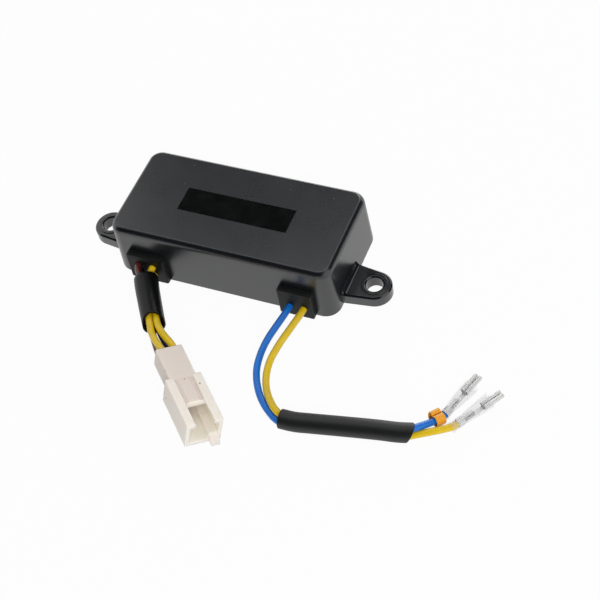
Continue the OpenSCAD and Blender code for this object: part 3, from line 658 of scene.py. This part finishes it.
def drawn_out(facets, count, place):
    """bmesh of an open skin: a unit circle drawn out ring by ring, its points set by a function."""
    bm = bmesh.new()
    rim = bmesh.ops.create_circle(bm, segments=facets, radius=1.0)["verts"]
    edges = list(bm.edges)
    flat = last = [v.co.copy() for v in rim]
    for i in range(count):
        if i:
            made = bmesh.ops.extrude_edge_only(bm, edges=edges)["geom"]
            rim = [g for g in made if isinstance(g, bmesh.types.BMVert)]
            edges = [g for g in made if isinstance(g, bmesh.types.BMEdge) and g.is_boundary]
        now = [place(i, co) for co in flat]
        for v in rim:
            # A drawn point starts where the one that it came from stands
            nearest = min(range(facets), key=lambda k, v=v: (v.co - last[k]).length)
            v.co = now[nearest]
        last = now
    return bm


def swept_tube(route, tube, facets=32):
    """bmesh of an open tube with a wall, drawn out along a smooth route."""
    line = smooth_line(in_metres(route), SLEEVE_STEP * MM)
    end = len(line) - 1

    def place(i, co):
        way = (line[min(i + 1, end)] - line[max(i - 1, 0)]).normalized()
        radius = tube["diameter"] / 2 * (1 + tube["flare"] * (0.5 - i / end))
        # The end's cut slants across, leans upwards and is taken back at the top
        near_end = max(0.0, (i / end - CUT_FROM) / (1 - CUT_FROM))
        cut = tube["slant"] * co.x + tube["lean"] * co.y + tube["notch"] * max(0.0, co.y)
        return line[i] + across(way) @ (co * radius) - way * cut * MM * near_end

    bm = drawn_out(facets, len(line), place)
    wall = tube["wall"]
    bmesh.ops.recalc_face_normals(bm, faces=bm.faces)
    bmesh.ops.solidify(bm, geom=list(bm.faces), thickness=wall)
    bmesh.ops.recalc_face_normals(bm, faces=bm.faces)
    rims = [e for e in bm.edges if e.calc_face_angle(0.0) > math.radians(SHARP_ANGLE)]
    bmesh.ops.bevel(
        bm, geom=rims, offset=wall * 0.3, offset_type="OFFSET", segments=2,
        profile=0.5, affect="EDGES", clamp_overlap=False, material=-1,
    )
    return bm


def wire_end_frame(route):
    """Frame of a terminal: X along it from the end of the wire's insulation, Z up."""
    line = in_metres(route)
    way = (line[-1] - line[-2]).normalized()
    turn = Matrix.Rotation(math.atan2(way.y, way.x), 4, "Z")
    return Matrix.Translation(line[-1]) @ turn


class REGULATOR_OT_case(bpy.types.Operator):
    """Adds the moulded case with its polished field"""

    bl_idname = "regulator.add_case"
    bl_label = "Case"

    def execute(self, context):
        s = sizes()
        bm = rounded_copy("case", s.case_edge)
        top = max(v.co.z for v in bm.verts)
        half_l = s.field_l / 2
        half_w = s.field_w / 2
        reach = [max(abs(v.co[i]) for v in bm.verts if top - v.co.z < s.top_edge_r) for i in (0, 1)]
        for v in bm.verts:
            # The top edge's round runs out slowly over the top and down the walls
            depth = (top - v.co.z) / s.top_edge_r
            if depth < 1 and (abs(v.co.x) > half_l + MM or abs(v.co.y) > half_w + MM):
                inset = 1 - math.sqrt(1 - (1 - depth) ** 2)
                for i in (0, 1):
                    v.co[i] *= 1 - inset * (s.top_edge_in - s.top_edge_r) / reach[i]
                v.co.z = top - depth * s.top_edge_run
        high, low = (top - below * MM for below in FIELD_DEPTHS)
        for face in bm.faces:
            spot = face.calc_center_median()
            in_field = abs(spot.x) < half_l and abs(spot.y) < half_w and low < spot.z < high
            on_ear = abs(spot.x) > EAR_FROM * MM
            face.material_index = 2 if on_ear else int(in_field)
        mesh = finish_mesh(bm, "case_body")
        mesh.materials.append(moulded_abs("moulded_textured_abs", colours().case, 0.28, 0.05))
        mesh.materials.append(polished_abs(colours().field))
        mesh.materials.append(moulded_abs("moulded_smooth_abs", colours().case, 0.16, 0.03))
        even_normals(add_piece("case_body", mesh, None, "black_plastic", "case"))
        return {"FINISHED"}


class REGULATOR_OT_grommets(bpy.types.Operator):
    """Adds the two rubber grommets in the front wall"""

    bl_idname = "regulator.add_grommets"
    bl_label = "Grommets"

    def execute(self, context):
        rubber = moulded_rubber(colours().rubber)
        for node in ("harness_grommet", "lead_grommet"):
            mesh = finish_mesh(rounded_copy(node, sizes().rubber_edge, segments=3), node + "_body")
            even_normals(add_piece(node + "_body", mesh, rubber, "black_rubber", node))
        return {"FINISHED"}


class REGULATOR_OT_plug(bpy.types.Operator):
    """Adds the plug housing and its contacts"""

    bl_idname = "regulator.add_plug"
    bl_label = "Plug"

    # Blocks of the housing in its own frame, in millimetres: the lowest and the highest corner,
    # and how far the top of the front face is set back
    blocks = (
        ((0, -4.9, 0), (15.2, 4.9, 7.7), 0),  # rear block
        ((14.5, -6.7, -2.5), (16, 6.7, 7.3), 0),  # wall behind the shroud
        ((14.5, -6.7, -2.5), (36.5, 6.7, -1), 0),  # floor
        ((14.5, -6.7, -2.5), (36.5, -5.2, 8), 0),  # side wall
        ((14.5, 5.2, -2.5), (36.5, 6.7, 8), 0),  # side wall
        ((14.5, -6.7, 6.5), (36.5, -3.4, 8), 0),  # rail
        ((14.5, 3.4, 6.5), (36.5, 6.7, 8), 0),  # rail
        ((14.5, -4, 5.2), (26.5, 4, 7.2), 0),  # floor of the latch channel
        ((14.5, -2, 5.2), (26.3, 2, 7.55), 0),  # latch
        ((16, 2.1, -2.5), (39.2, 5.7, 0.7), 3.6),  # key tongue
    )

    # Parts of the housing in the same frame: its latch channel, which gets painted shade, and the
    # inside of its shroud, which gets a painted glow
    channel = ((-1, -3.45, 6), (26, 3.45, 9))
    shroud = ((15.8, -5.4, -1.3), (36.3, 5.4, 6.6))
    # The painted shade on the rear block fades out over this stretch
    painted_shade_to = 16.8
    painted_shade_fade = 4.5
    # Cell of the skin that runs the blocks together, in millimetres, and rounds of softening
    cell = 0.25
    rounds = 5

    def is_in(self, box, point):
        """Whether a point lies within a box of a lowest and a highest corner."""
        return all(low < c < high for c, low, high in zip(point, *box))

    def shell(self):
        """Mesh of the blocks run together, with edges as soft as the mould leaves them."""
        bm = bmesh.new()
        for low, high, set_back in self.blocks:
            middle = (Vector(low) + Vector(high)) / 2 * MM
            size = (Vector(high) - Vector(low)) * MM
            place = Matrix.Translation(middle) @ Matrix.Diagonal(size.to_4d())
            corners = bmesh.ops.create_cube(bm, size=1.0, matrix=place)["verts"]
            lip = [v for v in corners if v.co.x > middle.x and v.co.z > middle.z]
            bmesh.ops.translate(bm, verts=lip, vec=(-set_back * MM, 0, 0))
        holder = bpy.data.objects.new("blocks", finish_mesh(bm, "blocks"))
        bpy.context.scene.collection.objects.link(holder)
        skin = holder.modifiers.new("skin", "REMESH")
        skin.mode = "VOXEL"
        skin.voxel_size = self.cell * MM
        soft = holder.modifiers.new("soft", "SMOOTH")
        soft.factor = 0.5
        soft.iterations = self.rounds
        depsgraph = bpy.context.evaluated_depsgraph_get()
        mesh = bpy.data.meshes.new_from_object(holder.evaluated_get(depsgraph))
        bpy.data.objects.remove(holder)
        # The nylon's material reads where to paint shade (rear block and latch channel) and where
        # to paint a glow (shroud's inside)
        for name in ("depth", "painted_glow_mask"):
            mesh.attributes.new(name, "FLOAT", "POINT")
        depth = mesh.attributes["depth"].data
        painted_glow_mask = mesh.attributes["painted_glow_mask"].data
        for i, v in enumerate(mesh.vertices):
            point = v.co / MM
            rear_painted_shade = min(1.0, max(0.0, (self.painted_shade_to - point.x) / self.painted_shade_fade))
            depth[i].value = 1.0 if self.is_in(self.channel, point) else rear_painted_shade
            painted_glow_mask[i].value = float(self.is_in(self.shroud, point))
        turn = Matrix.Rotation(math.radians(PLUG_TURN), 4, "Z")
        roll = Matrix.Rotation(math.radians(PLUG_ROLL), 4, "X")
        mesh.transform(Matrix.Translation(Vector(PLUG_PLACE) * MM) @ turn @ roll)
        mesh.shade_smooth()
        return mesh

    def execute(self, context):
        nylon = natural_nylon(colours().nylon)
        add_piece("plug_shell", self.shell(), nylon, "natural_nylon", "plug_housing")
        mesh = finish_mesh(rounded_copy("plug_contacts", sizes().metal_edge), "plug_blades")
        brass = bright_metal("drawn_contact_brass", to_linear("#cdb06a"), 0.28)
        even_normals(add_piece("plug_blades", mesh, brass, "contact_brass", "plug_contacts"))
        return {"FINISHED"}


class REGULATOR_OT_sleeves(bpy.types.Operator):
    """Adds the black sleeves on the harness and on the leads"""

    bl_idname = "regulator.add_sleeves"
    bl_label = "Sleeves"

    def execute(self, context):
        s = sizes()
        tubing = extruded_pvc(
            "extruded_black_pvc_tubing", colours().harness_sleeve, 0.36, gloss=0.25
        )
        dull_tubing = extruded_pvc("extruded_dull_pvc_tubing", colours().lead_sleeve, 0.5)
        harness = {
            "diameter": s.harness_sleeve_d, "wall": s.harness_sleeve_wall,
            "flare": 0.08, "slant": 0.0, "lean": 0.0, "notch": 3.2,
        }
        leads = {
            "diameter": s.lead_sleeve_d, "wall": s.lead_sleeve_wall,
            "flare": 0.0, "slant": 0.2, "lean": -1.8, "notch": 0.0,
        }
        for node, route, tube, material in (
            ("harness_sleeve", HARNESS_SLEEVE_ROUTE, harness, tubing),
            ("lead_sleeve", LEAD_SLEEVE_ROUTE, leads, dull_tubing),
        ):
            mesh = finish_mesh(swept_tube(route, tube), node + "_tube")
            add_piece(node + "_tube", mesh, material, "sleeving", node)
        return {"FINISHED"}


class REGULATOR_OT_terminals(bpy.types.Operator):
    """Adds the tinned push-on terminals and their clear boots"""

    bl_idname = "regulator.add_terminals"
    bl_label = "Terminals and boots"

    # Stations of a boot, in millimetres: distance from the insulation's end, then its reach
    # on the wide side, on the close side, below and above, and how square its section is.
    # The distances before the end of the insulation are shares of the neck's length
    boot_stations = (
        (-1.0, 2.05, 2.05, 2.05, 2.05, 1.0),
        (-0.95, 2.15, 2.15, 2.15, 2.15, 1.0),
        (-0.8, 1.85, 1.85, 1.85, 1.85, 1.0),
        (0.0, 1.8, 1.75, 1.75, 1.75, 1.0),
        (2.6, 2.2, 1.9, 1.8, 1.95, 0.95),
        (6.0, 2.6, 2.1, 1.9, 2.1, 0.85),
        (8.8, 2.9, 2.2, 2.0, 2.2, 0.8),
        (12.0, 3.2, 2.25, 2.05, 2.3, 0.8),
    )
    boot_facets = 40
    # The film's waves, in millimetres: their length and height
    wave_l = 3.0
    wave_h = 0.06

    def boot_rings(self):
        """The stations, with three even steps from one to the next."""
        rings = [self.boot_stations[0]]
        for before, after in zip(self.boot_stations, self.boot_stations[1:]):
            for k in (1, 2, 3):
                rings.append([a + (b - a) * k / 3 for a, b in zip(before, after)])
        return rings

    def boot(self, stand, side, neck):
        """bmesh of a clear boot, drawn out from its rim on the wire to its mouth."""
        rings = self.boot_rings()

        def place(i, co):
            x, wide, close, below, above, square = rings[i]
            aside = math.copysign(abs(co.x) ** square, co.x) * (wide if co.x * side > 0 else close)
            rise = math.copysign(abs(co.y) ** square, co.y) * (above if co.y > 0 else below)
            return Vector((x * neck if x < 0 else x, aside, rise)) * MM

        bm = drawn_out(self.boot_facets, len(rings), place)
        for v in bm.verts:
            wave = noise.noise(v.co / (self.wave_l * MM) + Vector((side, 0, 0)))
            v.co += Vector((0, v.co.y, v.co.z)).normalized() * wave * self.wave_h * MM
        bmesh.ops.recalc_face_normals(bm, faces=bm.faces)
        bmesh.ops.solidify(bm, geom=list(bm.faces), thickness=sizes().boot_wall)
        bmesh.ops.recalc_face_normals(bm, faces=bm.faces)
        bmesh.ops.transform(bm, matrix=stand, verts=bm.verts)
        low = min(v.co.z for v in bm.verts)
        bmesh.ops.translate(bm, verts=bm.verts, vec=(0, 0, max(0.0, -low)))
        return bm

    def execute(self, context):
        tin = bright_metal("tinned_brass_strip", colours().tin, 0.34)
        vinyl = clear_pvc(colours().boot)
        for colour, route, side, neck in (
            ("blue", BLUE_ROUTE, -1, 2.6),
            ("yellow", YELLOW_ROUTE, 1, 5.0),
        ):
            name, node = colour + "_receptacle", colour + "_terminal"
            mesh = finish_mesh(rounded_copy(node, sizes().metal_edge), name)
            even_normals(add_piece(name, mesh, tin, "tinned_brass", node))
            name, node = colour + "_clear_boot", colour + "_boot"
            mesh = finish_mesh(self.boot(wire_end_frame(route), side, neck), name)
            add_piece(name, mesh, vinyl, "clear_pvc", node)
        return {"FINISHED"}


class REGULATOR_OT_marker(bpy.types.Operator):
    """Adds the orange strip bent round the blue lead"""

    bl_idname = "regulator.add_marker"
    bl_label = "Marker"

    # Rounding of the strip's edges, in millimetres
    strip_edge = 0.08

    def execute(self, context):
        start, end = (Vector(BLUE_ROUTE[i]) * MM for i in MARKER_BETWEEN)
        way = (end - start).normalized()
        length = way * sizes().marker_l
        near = (start + end - length) / 2
        turn = across(way)
        section = [near + turn @ Vector((aside, rise, 0)) * MM for aside, rise in MARKER_SECTION]
        bm = bmesh.new()
        verts = [bm.verts.new(point) for point in smooth_line(section, MARKER_STEP * MM)]
        edges = [bm.edges.new(pair) for pair in zip(verts, verts[1:])]
        made = bmesh.ops.extrude_edge_only(bm, edges=edges)["geom"]
        far = [g for g in made if isinstance(g, bmesh.types.BMVert)]
        bmesh.ops.translate(bm, verts=far, vec=length)
        for v in bm.verts:
            # It rests on what the part stands on
            v.co.z = max(v.co.z, sizes().marker_t / 2)
        bmesh.ops.recalc_face_normals(bm, faces=bm.faces)
        mesh = finish_mesh(bm, "marker_wrap")
        vinyl = vinyl_strip(colours().marker)
        piece = add_piece("marker_wrap", mesh, vinyl, "orange_tape", "wire_marker")
        wall = piece.modifiers.new("strip", "SOLIDIFY")
        wall.thickness = sizes().marker_t
        wall.offset = 0.0
        edge = piece.modifiers.new("edge", "BEVEL")
        edge.width = self.strip_edge * MM
        edge.segments = 2
        edge.limit_method = "ANGLE"
        even_normals(piece)
        return {"FINISHED"}


class REGULATOR_OT_harness(bpy.types.Operator):
    """Adds the four harness wires that end in the plug"""

    bl_idname = "regulator.add_harness"
    bl_label = "Harness"

    def execute(self, context):
        yellow = extruded_pvc("extruded_yellow_pvc", colours().yellow, WIRE_ROUGHNESS)
        brown = extruded_pvc("extruded_brown_pvc", colours().brown, WIRE_ROUGHNESS)
        navy = extruded_pvc("extruded_dark_blue_pvc", colours().navy, WIRE_ROUGHNESS)
        plug = ["plug_shell", "plug_blades"]
        on_bundle = plug + ["harness_sleeve_tube", "harness_grommet_body"]
        for name, route, material, slot, pieces in (
            ("brown_wire", BROWN_ROUTE, brown, "brown_pvc", on_bundle),
            ("yellow_wire_a", YELLOW_A_ROUTE, yellow, "yellow_pvc", plug),
            ("yellow_wire_b", YELLOW_B_ROUTE, yellow, "yellow_pvc", plug),
            ("navy_wire", NAVY_ROUTE, navy, "navy_pvc", plug),
        ):
            wire, length = add_wire(name, route, material, slot)
            in_metres(route)[0]
            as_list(pieces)
        return {"FINISHED"}


class REGULATOR_OT_leads(bpy.types.Operator):
    """Adds the blue and the yellow brush lead"""

    bl_idname = "regulator.add_leads"
    bl_label = "Brush leads"

    def execute(self, context):
        blue = extruded_pvc("extruded_blue_pvc", colours().blue, WIRE_ROUGHNESS)
        yellow = extruded_pvc("extruded_lead_yellow_pvc", colours().yellow, WIRE_ROUGHNESS)
        on_yellow = ["yellow_receptacle", "yellow_clear_boot"]
        on_blue = [
            "blue_receptacle", "blue_clear_boot", "marker_wrap", "lead_sleeve_tube",
            "lead_grommet_body",
        ]
        for name, route, material, slot, pieces in (
            ("blue_lead", BLUE_ROUTE, blue, "blue_pvc", on_blue),
            ("yellow_lead", YELLOW_ROUTE, yellow, "yellow_pvc", on_yellow),
        ):
            wire, length = add_wire(name, route, material, slot)
            in_metres(route)[0]
            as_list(pieces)
        return {"FINISHED"}


class REGULATOR_OT_inside(bpy.types.Operator):
    """Gives the potted pieces inside the case their finishes"""

    bl_idname = "regulator.finish_inside"
    bl_label = "Potted pieces"

    def execute(self, context):
        epoxy = coated_body("moulded_black_epoxy", "#1b1b1c", 0.5, 0.6)
        lacquer = coated_body("lacquered_resistor", "#bfae8c", 0.45, 0.8)
        finishes = {
            "potting_compound": coated_body("poured_potting_resin", "#2e2a26", 0.25, 6),
            "circuit_board": coated_body("pressed_phenolic_laminate", "#8a6634", 0.45, 2),
            "filter_capacitor": coated_body("shrunk_blue_pvc_sleeve", "#27406b", 0.3, 3),
            "film_capacitor": coated_body("dipped_red_epoxy", "#b0422a", 0.3, 2),
            "zener_diode": coated_body("sealed_diode_glass", "#c0602a", 0.2, 0.8),
            "trimmer": coated_body("moulded_blue_plastic", "#2f5f9c", 0.35, 2),
            "solder_tails": bright_metal("soldered_tinned_copper", to_linear("#c3c5c8"), 0.3),
            "rectifier_diodes": epoxy,
            "freewheel_diode": epoxy,
            "power_transistor": epoxy,
            "driver_transistors": epoxy,
            "power_resistors": lacquer,
            "small_resistors": lacquer,
        }
        for node, material in finishes.items():
            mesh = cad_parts[node].data
            mesh.materials.clear()
            mesh.materials.append(material)
        return {"FINISHED"}


class REGULATOR_OT_stage(bpy.types.Operator):
    """Adds the camera, the floor and the studio light"""

    bl_idname = "regulator.add_stage"
    bl_label = "Stage"

    # Black cards for the reflections: name, place and half of the side, in metres
    cards = (
        ("front_card", (0.0, -0.72, 0.58), 0.85),
        ("low_card", (-0.07, -0.125, 0.03), 0.1),
        ("right_card", (0.66, 0.49, 0.46), 0.34),
        ("low_right_card", (0.13, 0.06, 0.02), 0.036),
        ("ceiling_card", (-0.124, 0.262, 0.255), 0.113),
    )
    card_black = "#0a0a0a"
    # Lamps: name, place and side in metres, power in watts, and whether reflections show it
    lamps = (
        ("back_softbox", (-0.28, 1.0, 0.45), 0.85, 6.0, True),
        ("front_fill", (0.62, -0.8, 0.72), 0.6, 7.5, False),
    )
    # What the lamps point at, in metres
    lamp_aim = (0.03, -0.02, 0.0)
    # Half of the floor's side, in metres, and its share of plain white where it is seen
    floor_half = 1.5
    floor_white = 0.95
    # Strength of the room's light on the object
    room_light = 0.42

    def camera(self, scene):
        data = bpy.data.cameras.new("photo_camera")
        data.lens = CAMERA_LENS
        data.sensor_width = CAMERA_FRAME
        data.sensor_fit = "HORIZONTAL"
        data.clip_start = 0.01
        right = Vector(CAMERA_RIGHT).normalized()
        back = right.cross(Vector(CAMERA_UP)).normalized()
        up = back.cross(right)
        camera = bpy.data.objects.new("photo_camera", data)
        turn = Matrix((right, up, back)).transposed().to_4x4()
        camera.matrix_world = Matrix.Translation(Vector(CAMERA_PLACE) * MM) @ turn
        scene.collection.objects.link(camera)
        scene.camera = camera

    def floor(self, scene):
        """White paper: it shows as plain white, and takes a faint shadow."""
        bm = bmesh.new()
        bmesh.ops.create_grid(bm, x_segments=1, y_segments=1, size=self.floor_half)
        floor = bpy.data.objects.new("floor", finish_mesh(bm, "floor"))
        scene.collection.objects.link(floor)
        material, tree = empty_material("white_paper")
        seen = self.seen_directly(tree)
        paper = add_node(tree, "ShaderNodeBsdfDiffuse", {"Color": to_linear("#efefef")})
        glow = add_node(tree, "ShaderNodeEmission", {"Color": (1, 1, 1, 1), "Strength": 1.0})
        share = add_node(tree, "ShaderNodeMath", {
            0: seen, 1: self.floor_white,
        }, operation="MULTIPLY")
        mixed = add_node(tree, "ShaderNodeMixShader", {
            0: share.outputs[0], 1: paper.outputs[0], 2: glow.outputs[0],
        })
        set_surface(tree, mixed)
        floor.data.materials.append(material)

    def seen_directly(self, tree):
        """1 for what the camera sees, straight or through metal and clear plastic."""
        path = add_node(tree, "ShaderNodeLightPath")
        mirrored = add_node(tree, "ShaderNodeMath", {
            0: path.outputs["Is Camera Ray"], 1: path.outputs["Is Glossy Ray"],
        }, operation="MAXIMUM")
        both = add_node(tree, "ShaderNodeMath", {
            0: mirrored.outputs[0], 1: path.outputs["Is Transmission Ray"],
        }, operation="MAXIMUM")
        return both.outputs[0]

    def world(self, scene):
        world = bpy.data.worlds.new("white_studio")
        world.use_nodes = True
        tree = world.node_tree
        tree.nodes.clear()
        seen = self.seen_directly(tree)
        strength = add_node(tree, "ShaderNodeMapRange", {
            "Value": seen, "To Min": self.room_light, "To Max": 1.0,
        })
        sky = add_node(tree, "ShaderNodeBackground", {
            "Color": (1, 1, 1, 1), "Strength": strength.outputs["Result"],
        })
        add_node(tree, "ShaderNodeOutputWorld", {"Surface": sky.outputs[0]})
        scene.world = world

    def lamp(self, scene, name, place, size, power, in_gloss):
        data = bpy.data.lights.new(name, "AREA")
        data.size = size
        data.energy = power
        lamp = bpy.data.objects.new(name, data)
        lamp.location = place
        aim = Vector(self.lamp_aim) - Vector(place)
        lamp.rotation_euler = aim.to_track_quat("-Z", "Y").to_euler()
        lamp.visible_glossy = in_gloss
        scene.collection.objects.link(lamp)

    def card(self, scene, name, place, half, felt):
        """A card that shows only in reflections: it draws the dark lines on round edges."""
        bm = bmesh.new()
        bmesh.ops.create_grid(bm, x_segments=1, y_segments=1, size=half)
        turn = (-Vector(place)).to_track_quat("-Z", "Y").to_matrix().to_4x4()
        bmesh.ops.transform(bm, matrix=Matrix.Translation(place) @ turn, verts=bm.verts)
        card = bpy.data.objects.new(name, finish_mesh(bm, name))
        scene.collection.objects.link(card)
        card.data.materials.append(felt)
        card.visible_camera = False
        card.visible_diffuse = False
        card.visible_shadow = False
        card.visible_transmission = False

    def execute(self, context):
        scene = context.scene
        scene.view_settings.view_transform = "Standard"
        self.camera(scene)
        self.floor(scene)
        self.world(scene)
        felt, tree = empty_material("dyed_black_felt")
        cloth = add_node(tree, "ShaderNodeBsdfDiffuse", {"Color": to_linear(self.card_black)})
        set_surface(tree, cloth)
        for name, place, half in self.cards:
            self.card(scene, name, place, half, felt)
        for lamp in self.lamps:
            self.lamp(scene, *lamp)
        return {"FINISHED"}


class REGULATOR_PT_panel(bpy.types.Panel):
    """Lists the regulator's pieces"""

    bl_idname = "REGULATOR_PT_panel"
    bl_label = "Voltage Regulator"
    bl_space_type = "VIEW_3D"
    bl_region_type = "UI"
    bl_category = "Regulator"

    def draw(self, context):
        for operator in OPERATORS:
            self.layout.operator(operator.bl_idname)
        for group in (context.scene.regulator_sizes, context.scene.regulator_colours):
            for name in group.__annotations__:
                self.layout.prop(group, name)


OPERATORS = (
    REGULATOR_OT_stage,
    REGULATOR_OT_case,
    REGULATOR_OT_grommets,
    REGULATOR_OT_plug,
    REGULATOR_OT_sleeves,
    REGULATOR_OT_terminals,
    REGULATOR_OT_marker,
    REGULATOR_OT_harness,
    REGULATOR_OT_leads,
    REGULATOR_OT_inside,
)
CLASSES = (RegulatorSizes, RegulatorColours) + OPERATORS + (REGULATOR_PT_panel,)


def register():
    for cls in CLASSES:
        bpy.utils.register_class(cls)
    bpy.types.Scene.regulator_sizes = bpy.props.PointerProperty(type=RegulatorSizes)
    bpy.types.Scene.regulator_colours = bpy.props.PointerProperty(type=RegulatorColours)


def unregister():
    del bpy.types.Scene.regulator_colours
    del bpy.types.Scene.regulator_sizes
    for cls in reversed(CLASSES):
        bpy.utils.unregister_class(cls)


def main():
    register()
    for operator in OPERATORS:
        group, name = operator.bl_idname.split(".")
        getattr(getattr(bpy.ops, group), name)()


if __name__ == "__main__":
    main()
